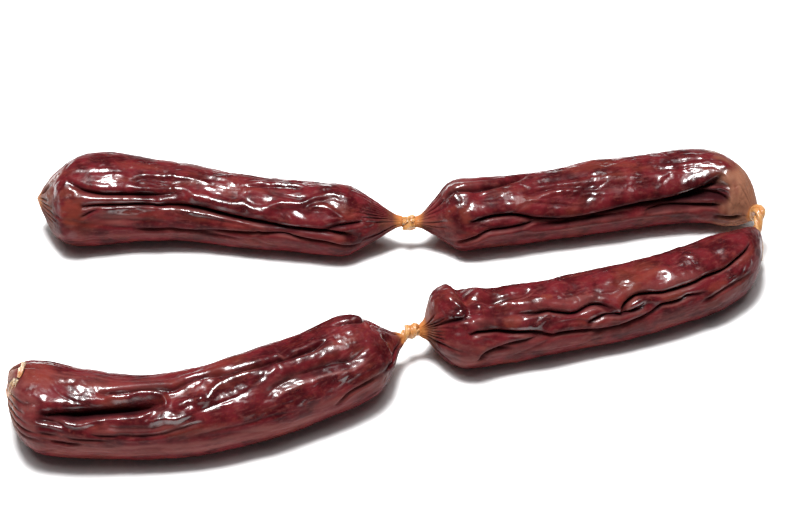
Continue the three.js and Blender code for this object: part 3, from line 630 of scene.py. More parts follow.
# Loose frills of dried casing: the link and end they hang from, a path from that tip and half the
# width along it in mm, the way the sheet faces, its thickness, and its waves and their height.
FRILLS = {
    "frill_tail_4": {
        "link": "link_4", "end": 0, "out": (-0.6, -0.5, 0.6), "thick": 0.3, "waves": 2.5, "wave": 0.7,
        "way": [(1.8, -7.8, 5.4), (2.8, -8.0, 7.4), (3.7, -7.8, 9.2), (4.4, -7.0, 10.8)],
        "widths": [0.9, 1.5, 1.6, 1.1],
    },
    "fray_tail_4": {
        "link": "link_4", "end": 0, "out": (-0.6, -0.2, 0.8), "thick": 0.25, "waves": 2.0, "wave": 0.5,
        "way": [(5.2, -6.4, 11.7), (5.8, -5.4, 12.7), (6.2, -4.2, 13.4), (6.4, -3.0, 13.8)],
        "widths": [0.7, 1.1, 1.1, 0.8],
    },
    "web_link_3": {
        "link": "link_3", "end": 1, "out": (0.9, 0.2, 0.2), "thick": 0.25, "waves": 1.5, "wave": 0.4,
        "way": [(0.6, 0.4, 0.6), (1.4, -2.0, -0.6), (1.8, -4.6, -2.6), (1.4, -7.0, -5.0)],
        "widths": [1.0, 1.3, 1.1, 0.5],
    },
}


def tint(name, description, default):
    """A colour setting."""
    return FloatVectorProperty(
        name=name, description=description, default=default, subtype="COLOR", min=0, max=1,
    )


def relief(name, description, default, most):
    """A height or depth setting, its usual and greatest values given in mm."""
    return FloatProperty(
        name=name, description=description, default=default * MM, subtype="DISTANCE", unit="LENGTH",
        min=0, max=most * MM,
    )


class SkinSettings(bpy.types.PropertyGroup):
    """Colours and relief of the links."""

    wine: tint("Wine", "Darkest lean meat under the skin", (0.034, 0.0018, 0.0034))
    burgundy: tint("Burgundy", "Cured meat under the skin", (0.093, 0.0078, 0.0110))
    rust: tint("Rust", "Paprika and browned fat showing through", (0.150, 0.029, 0.018))
    # The pale colour also paints the table's reflection along the lower sides and pale highlight lines
    # under deep folds and on pleat crests.
    pale: tint("Pale", "Dry skin with air under it", (0.160, 0.046, 0.041))
    tan: tint("Tan", "Thin skin drawn tight near an end", (0.205, 0.086, 0.052))
    amber: tint("Amber", "Dried casing with no meat in it", (0.370, 0.135, 0.040))
    lumps: relief("Lumps", "Height of the lumps of meat and fat", 0.42, 3)
    wrinkles: relief("Wrinkles", "Depth of the fine lengthwise wrinkles", 0.32, 3)
    crumple: relief("Crumple", "Height of the small crumpled facets where the skin is shiny", 0.36, 1)
    pebbles: relief("Pebbles", "Height of the fine pebbled grain all over the skin", 0.06, 1)


class CasingSettings(bpy.types.PropertyGroup):
    """Colours of the bare dried casing."""

    amber: tint("Amber", "Thick wrung casing", (0.350, 0.118, 0.027))
    cream: tint("Cream", "Thin dry casing", (0.430, 0.230, 0.088))
    pale: tint("Pale", "Loose dry casing at a free edge", (0.440, 0.300, 0.190))


class StageSettings(bpy.types.PropertyGroup):
    """The table, the lights and the camera."""

    table: tint("Table", "Colour of the table top", (0.94, 0.94, 0.94))
    room: FloatProperty(
        name="Room", description="Brightness of the room all round",
        default=0.05, min=0, max=4,
    )
    key: FloatProperty(
        name="Key light", description="Power of the soft light overhead",
        default=10.4, subtype="POWER", unit="POWER", min=0, max=1000,
    )
    softbox: FloatProperty(
        name="Soft box", description="Power of the wide soft box over the whole table",
        default=6.0, subtype="POWER", unit="POWER", min=0, max=1000,
    )
    lens: FloatProperty(
        name="Lens", description="Focal length of the camera, in millimetres",
        default=84.8, unit="CAMERA", min=10, max=400,
    )


# ---------------------------------------------------------------- numbers

def smooth(low, high, value):
    """0 below low, 1 above high, an S curve between them."""
    t = np.clip((value - low) / (high - low), 0, 1)
    return t * t * (3 - 2 * t)


def curve_through(rows, count):
    """A uniform Catmull-Rom curve through the rows, as `count` evenly stepped rows."""
    rows = np.asarray(rows, float)
    ends = np.vstack([2 * rows[0] - rows[1], rows, 2 * rows[-1] - rows[-2]])
    at = np.linspace(0, len(rows) - 1, count)
    start = np.minimum(at.astype(int), len(rows) - 2)
    t = (at - start)[:, None]
    a, b, c, d = (ends[start + k] for k in range(4))
    return b + 0.5 * t * (c - a + t * (2 * a - 5 * b + 4 * c - d + t * (3 * (b - c) + d - a)))


def evenly(rows, columns, count):
    """The rows restepped so that each step is the same length, measured in the given columns."""
    steps = np.linalg.norm(np.diff(rows[:, columns], axis=0), axis=1)
    travelled = np.concatenate([[0], np.cumsum(steps)])
    wanted = np.linspace(0, travelled[-1], count)
    even = np.stack([np.interp(wanted, travelled, column) for column in rows.T], axis=1)
    return even, travelled[-1]


def grain(points, size, seed):
    """Gradient noise, about -1 to 1, with features `size` mm across along each axis: every corner
    of a lattice gets a random slope, and the slopes blend smoothly inside each cell."""
    slopes = np.random.default_rng(seed).normal(size=(1024, 3))
    slopes /= np.linalg.norm(slopes, axis=1, keepdims=True)
    scaled = points / np.asarray(size, float)
    cell = np.floor(scaled).astype(np.int64)
    inside = scaled - cell
    blend = inside**3 * (inside * (inside * 6 - 15) + 10)
    total = np.zeros(points.shape[:-1])
    for corner in np.ndindex(2, 2, 2):
        corner = np.array(corner)
        key = (cell + corner) * np.array([73856093, 19349663, 83492791])
        slope = slopes[(key[..., 0] ^ key[..., 1] ^ key[..., 2]) & 1023]
        weight = np.where(corner == 1, blend, 1 - blend).prod(axis=-1)
        total += weight * (slope * (inside - corner)).sum(axis=-1)
    return total * GRAIN_GAIN


# ---------------------------------------------------------------- meshes

def woven_mesh(name, points, fields):
    """A closed skin over a grid of rings by spokes, points[ring, spoke] in mm. Each ring joins the
    next by quads that face outwards when spokes turn from the near side to the top, and the first
    and last rings close on their own centres. fields are numbers per point, kept as attributes."""
    rings, spokes = points.shape[:2]
    poles = np.stack([points[0].mean(axis=0), points[-1].mean(axis=0)])
    places = np.concatenate([points.reshape(-1, 3), poles]) * MM
    index = np.arange(rings * spokes).reshape(rings, spokes)
    after = np.roll(index, -1, axis=1)
    quads = np.stack([index[:-1], index[1:], after[1:], after[:-1]], axis=-1).reshape(-1, 4)
    first = np.stack([np.full(spokes, rings * spokes), index[0], after[0]], axis=-1)
    last = np.stack([np.full(spokes, rings * spokes + 1), after[-1], index[-1]], axis=-1)
    corners = np.concatenate([quads.ravel(), first.ravel(), last.ravel()])
    sizes = np.concatenate([np.full(len(quads), 4), np.full(2 * spokes, 3)])
    mesh = bpy.data.meshes.new(name)
    mesh.vertices.add(len(places))
    mesh.vertices.foreach_set("co", places.astype(np.float32).ravel())
    mesh.loops.add(len(corners))
    mesh.loops.foreach_set("vertex_index", corners.astype(np.int32))
    mesh.polygons.add(len(sizes))
    mesh.polygons.foreach_set("loop_start", (np.cumsum(sizes) - sizes).astype(np.int32))
    mesh.update(calc_edges=True)
    mesh.validate()
    mesh.shade_smooth()
    for field, values in fields.items():
        ends = np.stack([values[0].mean(axis=0), values[-1].mean(axis=0)])
        flat = np.concatenate([values.reshape(rings * spokes, -1), ends.reshape(2, -1)])
        kind = "FLOAT" if flat.shape[1] == 1 else "FLOAT_VECTOR"
        slot = "value" if flat.shape[1] == 1 else "vector"
        kept = mesh.attributes.new(field, kind, "POINT")
        kept.data.foreach_set(slot, flat.astype(np.float32).ravel())
    piece = bpy.data.objects.new(name, mesh)
    bpy.context.scene.collection.objects.link(piece)
    return piece


def place(piece, node, slot, material):
    """Rides a finished piece on the string's body in place of its CAD node."""
    piece.data.materials.append(material)
    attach(piece, "root")
    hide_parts(node)


# ---------------------------------------------------------------- the skin of a link

def link_rows(node):
    """A link's sections in mm in the row's own frame, evenly spaced along its outline."""
    corner = np.array(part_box(node)[0]) / MM
    rows = curve_through(SECTIONS[node], LINK_ROWS)
    rows[:, :2] += corner[:2]
    return evenly(rows, [0, 1, 2, 4], RINGS)


def drawn_line(skin, path, reach):
    """For the rings near a drawn path: how far each point of the skin lies from it in mm, positive
    above it, and the path's strength at the nearest place. Distances are measured on the unrolled
    skin, where one axis is mm along the link and the other is the turn times the radius."""
    line = curve_through(path, 5 * len(path))
    marks = line[:, 0] * skin["length"]
    near = (skin["along"] > marks.min() - reach) & (skin["along"] < marks.max() + reach)
    along = skin["along"][near][:, None]
    arc = np.radians(skin["radius"][near])[:, None]
    best = np.full((near.sum(), SPOKES), 1e9)
    side = np.zeros_like(best)
    strength = np.zeros_like(best)
    for k in range(len(line) - 1):
        run = marks[k + 1] - marks[k]
        rise = (line[k + 1, 1] - line[k, 1]) * arc
        x = along - marks[k]
        y = ((skin["turn"][None, :] - line[k, 1] + 180) % 360 - 180) * arc
        t = np.clip((x * run + y * rise) / (run * run + rise * rise + 1e-9), 0, 1)
        distance = np.hypot(x - t * run, y - t * rise)
        closer = distance < best
        best = np.where(closer, distance, best)
        side = np.where(closer, np.sign(y * run - x * rise), side)
        strength = np.where(closer, line[k, 2] + t * (line[k + 1, 2] - line[k, 2]), strength)
    return near, best * side, strength


def press_folds(skin, folds, height, slide, painted_shade, wet, lip):
    """Presses each fold in. Across a fold the height is minus a pointed bell for the valley, steeper
    on its upper side, plus a rounder bell for each lip, and the upper lip slides down over it. A
    ridge is a round bell upwards instead. The valley's core is painted dark as shade. The crests of
    ridges and of lower lips are stretched shiny, and a thin pale line, a painted highlight on the
    top edge of the lower lip, runs along the lower side of each deep valley."""
    for fold in folds:
        half = fold["half"]
        near, across, strength = drawn_line(skin, fold["path"], 5 * half)
        lean = min(0.4, 0.3 * fold["hang"])
        width = half * np.where(across > 0, 1 - lean, 1 + lean)
        if fold["depth"] < 0:
            valley = np.exp(-((across / (1.3 * half)) ** 2))
        else:
            valley = np.exp(-(np.abs(across / width) ** 1.45))
        upper = np.exp(-(((across - 1.7 * half) / half) ** 2))
        lower = np.exp(-(((across + 1.7 * half) / (0.8 * half)) ** 2))
        lips = fold["upper"] * upper + fold["lower"] * lower
        height[near] += strength * (lips - fold["depth"] * valley)
        slide[near] -= strength * fold["hang"] * np.exp(-(((across - half) / (0.9 * half)) ** 2))
        # Painted shade: the valley's core is darkened in the colour.
        valley_shade_core = strength * fold["valley_shade"] * np.exp(-(((across + 0.3 * half) / (0.9 * half)) ** 2))
        painted_shade[near] = np.maximum(painted_shade[near], valley_shade_core)
        crest = valley if fold["depth"] < 0 else 0.9 * np.clip(fold["lower"] / 0.4, 0, 1) * lower
        wet[near] = np.maximum(wet[near], 0.85 * strength * crest)
        # Painted highlight: a thin pale line along the top edge of the lower lip.
        if fold["depth"] > DEEP_FOLD:
            edge = np.exp(-(((across + 1.3 * half) / HIGHLIGHT_LINE_HALF) ** 2))
            lip[near] = np.maximum(lip[near], 1.3 * strength * edge)


def oval(skin, share, degrees, half_length, half_width):
    """A bell curve over an oval on the skin: 1 in its middle, 1/e at its rim."""
    x = (skin["along"] - share * skin["length"])[:, None] / half_length
    turned = (skin["turn"][None, :] - degrees + 180) % 360 - 180
    y = np.radians(turned) * skin["radius"][:, None] / half_width
    return np.exp(-(x * x + y * y))


def patches(skin, spots, torn):
    """The strongest of the spots at each point, 0 to 1, with edges torn by noise."""
    most = np.zeros_like(torn)
    for share, degrees, half_length, half_width, *strength in spots:
        spot = oval(skin, share, degrees, half_length, half_width)
        spot = smooth(0.18, 0.62, spot * (1 + 0.7 * torn))
        most = np.maximum(most, spot * (strength[0] if strength else 1))
    return most


def gather_end(skin, end, from_tip, seed, height, painted_shade, pale):
    """Gathers an end into pleats. Round the link the height is minus a narrow bell at each pleat,
    where the sine of half the pleat count times a wobbling turn crosses zero. Pleats start at the
    tip, deepen with the radius, and each has its own depth and dies out at its own distance. Each
    pleat is painted dark as shade, and the crests between them get a pale painted highlight."""
    random = np.random.default_rng(seed)
    turn = np.radians(skin["turn"])[None, :]
    phases = random.uniform(0, 2 * math.pi, 9)
    away = from_tip[:, None]
    wobble = 0.3 * np.sin(2 * turn + phases[0]) + 0.2 * np.sin(3 * turn + phases[1])
    wobble = wobble + 0.06 * np.sin(5 * turn + away / 4 + phases[2])
    wobble = wobble + 0.02 * np.sin(away / 1.7 + phases[6])
    wave = np.sin(end["pleats"] / 2 * (turn + wobble) + phases[3])
    varied = np.sin(4 * turn + phases[4]) * np.sin(3 * turn + phases[5])
    own_reach = end["reach"] * (0.75 + 0.4 * varied)
    own_depth = 0.68 + 0.32 * np.sin(5 * turn + phases[7]) * np.sin(2 * turn + phases[8])
    fade = own_depth * (1 - smooth(0.4, 1.0, away / own_reach))
    grown = np.clip(skin["radius"][:, None] / 7, 0.12, 1)
    pleat = np.exp(-(np.abs(wave / 0.42) ** 1.5)) * fade * grown
    height -= 1.3 * end["depth"] * pleat
    height += 0.4 * end["depth"] * fade * grown
    # Painted shade down each pleat, and a pale painted highlight on the crests between them.
    np.maximum(painted_shade, 0.9 * pleat * smooth(1.0, 4, away), out=painted_shade)
    crest = smooth(0.75, 0.98, np.abs(wave)) * fade * smooth(2, 6, away)
    np.maximum(pale, 0.4 * crest, out=pale)


def oval_sections(rows, turn):
    """The plain skin before any relief: at every section an ellipse standing upright across the
    link. Also the way out of the skin and the way round it at each point."""
    angle = np.radians(turn)[None, :, None]
    yaw = np.radians(rows[:, 5])[:, None]
    front = np.stack([np.sin(yaw), -np.cos(yaw), np.zeros_like(yaw)], axis=-1)
    outward = rows[:, 3, None, None] * np.cos(angle) * front
    upward = rows[:, 4, None, None] * np.sin(angle) * np.array([0, 0, 1.0])
    base = rows[:, None, :3] + outward + upward

    across_skin = np.roll(base, -1, axis=1) - np.roll(base, 1, axis=1)
    normal = np.cross(np.gradient(base, axis=0), across_skin)
    normal /= np.linalg.norm(normal, axis=-1, keepdims=True) + 1e-9
    round_skin = across_skin / (np.linalg.norm(across_skin, axis=-1, keepdims=True) + 1e-9)
    return base, normal, round_skin


def straightened(skin):
    """Where each point would lie in mm if the link were straight, so that noise follows it."""
    angle = np.radians(skin["turn"])[None, :]
    along = np.broadcast_to(skin["along"][:, None], (RINGS, SPOKES))
    radius = skin["radius"][:, None]
    return np.stack([along, radius * np.cos(angle), radius * np.sin(angle)], axis=-1)


def link_skin(node, order, settings):
    """One link's skin in mm, and its fields. Each section is an ellipse standing upright across the
    link; folds, dents, lumps, wrinkles and pleats move the skin along its normal and round it, and
    nothing goes below the table."""
    rows, length = link_rows(node)
    turn = np.linspace(0, 360, SPOKES, endpoint=False)
    skin = {
        "length": length,
        "along": np.linspace(0, length, RINGS),
        "turn": turn,
        "radius": rows[:, 3:5].mean(axis=1),
    }
    base, normal, round_skin = oval_sections(rows, turn)
    lie = straightened(skin)
    upness = np.sin(np.radians(turn))[None, :]
    seed = 100 * (order + 1)
    drift = np.stack([grain(lie, (16, 9, 9), seed + k) for k in range(3)], axis=-1)
    warped = lie + 1.8 * drift

    height = np.zeros((RINGS, SPOKES))
    slide = np.zeros_like(height)
    painted_shade = np.zeros_like(height)
    from_ends = np.minimum(skin["along"], length - skin["along"])[:, None]
    body = smooth(3, 14, from_ends)
    crests = np.zeros_like(height)
    lips = np.zeros_like(height)
    press_folds(skin, FOLDS[node], height, slide, painted_shade, crests, lips)
    for share, degrees, deep, half_length, half_width in DENTS[node]:
        height -= deep * oval(skin, share, degrees, half_length, half_width)

    lumps = settings.lumps / MM
    broad = grain(lie, (19, 11, 11), seed + 10)
    height += body * lumps * (broad + 0.5 * grain(warped, (8, 6, 6), seed + 11))
    quilted = smooth(-0.25, 0.35, grain(lie, (24, 12, 12), seed + 12))
    wrinkle = np.exp(-((grain(warped, (34, 7.5, 7.5), seed + 13) / 0.1) ** 2))
    height -= body * settings.wrinkles / MM * wrinkle * (0.15 + 0.85 * quilted)
    # Painted shade down the wrinkles.
    np.maximum(painted_shade, 0.3 * body * wrinkle * quilted, out=painted_shade)
    thready = np.exp(-((grain(warped, (15, 3.2, 3.2), seed + 20) / 0.12) ** 2))
    thready *= smooth(-0.3, 0.3, grain(lie, (14, 7, 7), seed + 21))
    height -= body * 0.4 * settings.wrinkles / MM * thready
    torn = grain(lie, (2.2, 1.6, 1.6), seed + 14)
    wet = patches(skin, WET[node], torn)
    stray_wet = smooth(0.06, 0.46, grain(warped, (7, 3.8, 3.8), seed + 15)) * body
    stray_wet *= smooth(0.2, 0.8, upness)
    facing_up = smooth(-0.15, 0.45, upness)
    crinkled = np.maximum(wet, 0.03 + 0.87 * stray_wet) * (0.12 + 0.88 * facing_up)
    worn = smooth(-0.5, 0.2, grain(lie, (7, 3, 3), seed + 23)) * smooth(0.25, 0.6, upness)
    wet = np.maximum(crinkled, np.clip(crests, 0, 1) * worn)
    facets = np.abs(grain(warped, (4.6, 2.8, 2.8), seed + 16))
    facets += 0.35 * np.abs(grain(warped, (2.0, 1.3, 1.3), seed + 17))
    height += settings.crumple / MM * (facets - 0.4) * (0.28 + crinkled)
    pebbles = grain(lie, (1.7, 1.2, 1.2), seed + 24)
    pebbles += 0.8 * np.abs(grain(warped, (3.0, 1.8, 1.8), seed + 25))
    height += settings.pebbles / MM * pebbles * smooth(1, 8, from_ends)
    # Pale patches: dry skin, and along the lower sides a painted reflection of the table.
    pale = patches(skin, PALE_SKIN_AND_REFLECTION[node], grain(lie, (6, 2.4, 2.4), seed + 18))
    pale *= 0.4 + 0.6 * smooth(-0.4, 0.5, grain(lie, (12, 1.5, 1.5), seed + 26))
    # Painted highlight: a pale line on the top edge of each deep fold's lower lip, broken by noise.
    lip_line_breaks = smooth(-0.5, 0.3, grain(lie, (8, 4, 4), seed + 27))
    pale = np.maximum(pale, 0.8 * np.clip(lips, 0, 1) * lip_line_breaks)
    rusty = 0.65 * patches(skin, RUSTY[node], grain(lie, (3.5, 2, 2), seed + 22))

    amber = np.zeros((RINGS, SPOKES))
    tan = np.zeros_like(amber)
    ragged = 1 + 0.35 * grain(lie, (6, 4, 4), seed + 19)
    for which, end in enumerate(ENDS[node]):
        from_tip = skin["along"] if which == 0 else length - skin["along"]
        gather_end(skin, end, from_tip, seed + 20 + which, height, painted_shade, pale)
        away = from_tip[:, None] * ragged
        amber = np.maximum(amber, 1 - smooth(0.3 * end["amber"], 1.6 * end["amber"], away))
        thin = 1 - smooth(0.55 * end["tan"], 1.15 * end["tan"], away)
        tan = np.maximum(tan, end["strength"] * thin)

    most = 0.55 * skin["radius"][:, None]
    height = np.clip(height, -most, most)
    height *= smooth(0, 1.2, from_ends) * 0.85 + 0.15
    slide *= smooth(0, 4, from_ends)
    points = base + height[..., None] * normal + slide[..., None] * round_skin
    points[..., 2] = np.maximum(points[..., 2], 0)
    fields = {
        "painted_shade": np.clip(painted_shade, 0, 1),
        "wet": wet,
        "pale": pale,
        "rusty": rusty,
        "amber": amber,
        "tan": tan,
        "lie": lie * MM,
    }
    return points, fields


# ---------------------------------------------------------------- necks and tails

def tip_of(node, end):
    """The centre of a link's left (0) or right (1) tip in mm, and the way out of it."""
    rows, _ = link_rows(node)
    row = rows[-1] if end else rows[0]
    yaw = math.radians(row[5])
    out = np.array([math.cos(yaw), math.sin(yaw), 0.0])
    return row[:3], out if end else -out


def wrung_tube(path, radii, turns, seed):
    """Wrung casing along a path: a tube whose section is three strands that turn as it runs, with
    fine pleats on them. The radius is the neck's own, times one plus a rounded wave of the turn,
    plus grain."""
    line = curve_through(path, NECK_ROWS)
    line, length = evenly(line, [0, 1, 2], NECK_RINGS)
    radius = curve_through(np.array(radii, float)[:, None], NECK_RINGS)[:, 0]
    forward = np.gradient(line, axis=0)
    forward /= np.linalg.norm(forward, axis=1, keepdims=True)
    side = np.cross(forward, np.array([0, 0, 1.0]))
    side /= np.linalg.norm(side, axis=1, keepdims=True)
    up = np.cross(side, forward)
    share = np.linspace(0, 1, NECK_RINGS)[:, None]
    turn = np.linspace(0, 2 * math.pi, NECK_SPOKES, endpoint=False)[None, :]
    wrung = turn - 2 * math.pi * turns * share
    strands = np.abs(np.cos(1.5 * wrung + 0.4 * np.sin(wrung)))
    pleats = np.abs(np.cos(5.5 * wrung + 1.3 * np.sin(2 * wrung)))
    middle = np.sin(math.pi * share) ** 0.5
    swell = 1 + middle * (0.5 * (strands - 0.6) + 0.12 * (pleats - 0.6))
    direction = np.cos(turn)[..., None] * side[:, None] + np.sin(turn)[..., None] * up[:, None]
    tube = line[:, None] + (radius[:, None] * swell)[..., None] * direction
    tube += 0.12 * grain(tube, 1.6, seed)[..., None] * direction
    thin = np.clip(strands * 0.7 + 0.3 * pleats + 0.3 * grain(tube, 2.5, seed + 1), 0, 1)
    return tube, {"thin": thin}


def neck_path(neck):
    """A neck's path in mm: out of one link's tip, over the points that stray from the straight
    line between the tips, and into the other's."""
    first, second = neck["joins"]
    start, out = tip_of(*first)
    stop, into = tip_of(*second)
    shares = np.linspace(0, 1, len(neck["stray"]) + 2)[1:-1, None]
    middle = start + shares * (stop - start) + np.array(neck["stray"], float)
    first_end = (start - 1.2 * out, start + 0.3 * out)
    return np.vstack([*first_end, middle, stop + 0.3 * into, stop - 1.2 * into])


def tail_path(tail):
    """A cut tail's path in mm: its own way out of the link's left tip."""
    start, _ = tip_of(tail["link"], 0)
    return start + np.array(tail["way"], float)


def frill_skin(frill, seed):
    """A thin frill of casing: flat oval sections along a path, their width and thickness given
    there. The sheet waves back and forth across its width, more and more towards its free edge, and
    that edge is ragged."""
    rows = [(*point, width) for point, width in zip(frill["way"], frill["widths"])]
    rows = curve_through(rows, FRILL_ROWS)
    rows, _ = evenly(rows, [0, 1, 2], NECK_RINGS)
    line = rows[:, :3] + tip_of(frill["link"], frill["end"])[0]
    forward = np.gradient(line, axis=0)
    forward /= np.linalg.norm(forward, axis=1, keepdims=True)
    out = np.array(frill["out"], float)
    wide = np.cross(forward, out)
    wide /= np.linalg.norm(wide, axis=1, keepdims=True)
    out = np.cross(wide, forward)
    share = np.linspace(0, 1, NECK_RINGS)[:, None]
    turn = np.linspace(0, 2 * math.pi, NECK_SPOKES, endpoint=False)[None, :]
    across = rows[:, 3:4] * np.cos(turn)
    thick = frill["thick"] * (1 - 0.5 * share) * np.sin(turn)
    phase = math.pi * across / rows[:, 3].max()
    waves = frill["wave"] * share * np.sin(frill["waves"] * phase + 2.5 * share)
    ragged = 0.9 * share**6 * np.sin(7 * phase + seed)
    sheet = line[:, None] + across[..., None] * wide[:, None]
    sheet += (thick + waves)[..., None] * out[:, None] + ragged[..., None] * forward[:, None]
    thin = np.clip(0.25 + 0.75 * share + 0.5 * grain(sheet, 1.8, seed), 0, 1)
    return sheet, {"thin": thin}


# ---------------------------------------------------------------- materials

def set_inputs(tree, made, inputs):
    """Sets or links a node's inputs."""
    for socket, value in inputs.items():
        if isinstance(value, bpy.types.NodeSocket):
            tree.links.new(value, made.inputs[socket])
        else:
            made.inputs[socket].default_value = value


def add_node(tree, kind, inputs=None, **options):
    """Adds a node, sets its options, and sets or links its inputs."""
    made = tree.nodes.new(kind)
    for option, value in options.items():
        setattr(made, option, value)
    set_inputs(tree, made, inputs or {})
    return made


def blend_colours(tree, amount, first, second):
    """A node's colour that goes from the first to the second as the amount goes from 0 to 1."""
    made = add_node(tree, "ShaderNodeMix", {"Factor": amount}, data_type="RGBA")
    for socket, value in ((made.inputs[6], first), (made.inputs[7], second)):
        if isinstance(value, bpy.types.NodeSocket):
            tree.links.new(value, socket)
        else:
            socket.default_value = (*value, 1)
    return made.outputs[2]


def stretched_noise(tree, place, size, detail, low, high):
    """Noise with features `size` mm across, stretched so that low..high becomes 0..1."""
    remap = {"Value": fine_noise(tree, place, size, detail), "From Min": low, "From Max": high}
    return add_node(tree, "ShaderNodeMapRange", remap, interpolation_type="SMOOTHSTEP").outputs[0]


def attribute(tree, name):
    """A number kept at every point of the mesh."""
    return add_node(tree, "ShaderNodeAttribute", attribute_name=name).outputs["Fac"]


def combined(tree, operation, first, second):
    """Two values added, subtracted or multiplied."""
    return add_node(tree, "ShaderNodeMath", {0: first, 1: second}, operation=operation).outputs[0]


def scaled(tree, value, factor):
    """A value times a factor."""
    return combined(tree, "MULTIPLY", value, factor)


def fine_noise(tree, place, size, detail):
    """Noise with features `size` mm across, just as it comes."""
    inputs = {"Vector": place, "Scale": 1 / (size * MM), "Detail": detail}
    return add_node(tree, "ShaderNodeTexNoise", inputs).outputs[0]


def bumped(tree, height, strength, depth):
    """A normal tilted by a height, depth mm deep."""
    inputs = {"Height": height, "Strength": strength, "Distance": depth * MM}
    return add_node(tree, "ShaderNodeBump", inputs).outputs[0]


def new_material(name):
    """An empty node material, its tree and its shader, joined to the output."""
    material = bpy.data.materials.new(name)
    material.use_nodes = True
    tree = material.node_tree
    tree.nodes.clear()
    shader = tree.nodes.new("ShaderNodeBsdfPrincipled")
    output = tree.nodes.new("ShaderNodeOutputMaterial")
    tree.links.new(shader.outputs[0], output.inputs["Surface"])
    return material, tree, shader


def cured_skin(settings):
    """Skin over cured meat: wine and burgundy clouded with rust, pinkish grey where it is dry, as a
    painted reflection of the table along the lower sides, and as painted highlight lines under deep
    folds and on pleat crests, tan where it is thin, amber where it is bare casing, painted shade
    nearly black down in the folds, pleats and wrinkles, and a wet coat only where fat has sweated
    through."""
    material, tree, shader = new_material("cured_skin")
    position = add_node(tree, "ShaderNodeTexCoord").outputs["Object"]
    lie = add_node(tree, "ShaderNodeAttribute", attribute_name="lie").outputs["Vector"]
    streaks = add_node(tree, "ShaderNodeMapping", {"Vector": lie, "Scale": (0.3, 1, 1)}).outputs[0]
    lean = stretched_noise(tree, position, 7.0, 4, 0.36, 0.62)
    meat = blend_colours(tree, lean, settings.wine, settings.burgundy)
    browned = scaled(tree, stretched_noise(tree, streaks, 5.0, 4, 0.5, 0.78), 0.6)
    meat = blend_colours(tree, browned, meat, settings.rust)
    specks = scaled(tree, stretched_noise(tree, position, 1.1, 2, 0.52, 0.76), 0.3)
    meat = blend_colours(tree, specks, meat, settings.rust)
    flecks = scaled(tree, stretched_noise(tree, streaks, 0.8, 3, 0.5, 0.72), 0.32)
    meat = blend_colours(tree, flecks, meat, settings.pale)
    meat = blend_colours(tree, attribute(tree, "rusty"), meat, settings.rust)
    meat = blend_colours(tree, attribute(tree, "pale"), meat, settings.pale)
    meat = blend_colours(tree, attribute(tree, "tan"), meat, settings.tan)
    meat = blend_colours(tree, attribute(tree, "amber"), meat, settings.amber)
    # Painted shade: folds, pleats and wrinkles blend towards near black.
    shaded = scaled(tree, attribute(tree, "painted_shade"), 0.9)
    colour = blend_colours(tree, shaded, meat, (0.012, 0.002, 0.003))
    open_skin = combined(tree, "SUBTRACT", 1.0, attribute(tree, "painted_shade"))
    open_skin.node.use_clamp = True
    wet = combined(tree, "MULTIPLY", attribute(tree, "wet"), open_skin)
    matt = stretched_noise(tree, position, 3.0, 3, 0.3, 0.7)
    matt = {"Value": matt, "To Min": 0.38, "To Max": 0.5}
    matt = add_node(tree, "ShaderNodeMapRange", matt).outputs[0]
    rough_folds = scaled(tree, attribute(tree, "painted_shade"), 0.45)
    matt = combined(tree, "ADD", matt, rough_folds)
    fine = fine_noise(tree, position, 0.65, 4)
    set_inputs(tree, shader, {
        "Base Color": colour,
        "Roughness": matt,
        "IOR": 1.4,
        "Specular IOR Level": 0.08,
        "Subsurface Weight": 0.06,
        "Subsurface Radius": (1.0, 0.25, 0.18),
        "Subsurface Scale": 1.4 * MM,
        "Coat Weight": wet,
        "Coat Roughness": 0.18,
        "Coat IOR": 1.68,
        "Normal": bumped(tree, fine, 0.55, 0.12),
        "Coat Normal": bumped(tree, fine, 0.3, 0.12),
    })
    return material


def dried_casing(settings):
    """Bare casing dried hard: amber where it is wrung thick, cream where a strand stands thin, with
    light glowing through it."""
    material, tree, shader = new_material("dried_casing")
    position = add_node(tree, "ShaderNodeTexCoord").outputs["Object"]
    colour = blend_colours(tree, attribute(tree, "thin"), settings.amber, settings.cream)
    stain = scaled(tree, stretched_noise(tree, position, 2.2, 3, 0.45, 0.75), 0.55)
    colour = blend_colours(tree, stain, colour, settings.amber)
    set_inputs(tree, shader, {
        "Base Color": colour,
        "Roughness": 0.38,
        "IOR": 1.45,
        "Subsurface Weight": 0.45,
        "Subsurface Radius": (1.0, 0.6, 0.3),
        "Subsurface Scale": 2.0 * MM,
        "Coat Weight": 0.35,
        "Coat Roughness": 0.15,
        "Normal": bumped(tree, fine_noise(tree, position, 0.7, 3), 0.4, 0.1),
    })
    return material


def dry_frill(settings):
    """Thin loose casing: cream at its free edge and amber where it is thicker, letting light
    through."""
    material, tree, shader = new_material("dry_frill")
    colour = blend_colours(tree, attribute(tree, "thin"), settings.amber, settings.pale)
    set_inputs(tree, shader, {
        "Base Color": colour,
        "Roughness": 0.45,
        "Subsurface Weight": 0.4,
        "Subsurface Radius": (1.0, 0.7, 0.45),
        "Subsurface Scale": 1.5 * MM,
        "Coat Weight": 0.3,
        "Coat Roughness": 0.2,
    })
    return material


# ---------------------------------------------------------------- operators

class SAUSAGE_OT_links(bpy.types.Operator):
    """Makes the skins of the links in place of their plain solids"""

    bl_idname = "sausage.links"
    bl_label = "Make links"

    def execute(self, context):
        settings = context.scene.sausage_skin
        material = cured_skin(settings)
        for order, node in enumerate(SECTIONS):
            points, fields = link_skin(node, order, settings)
            place(woven_mesh("skin_" + node, points, fields), node, "meat", material)
        return {"FINISHED"}


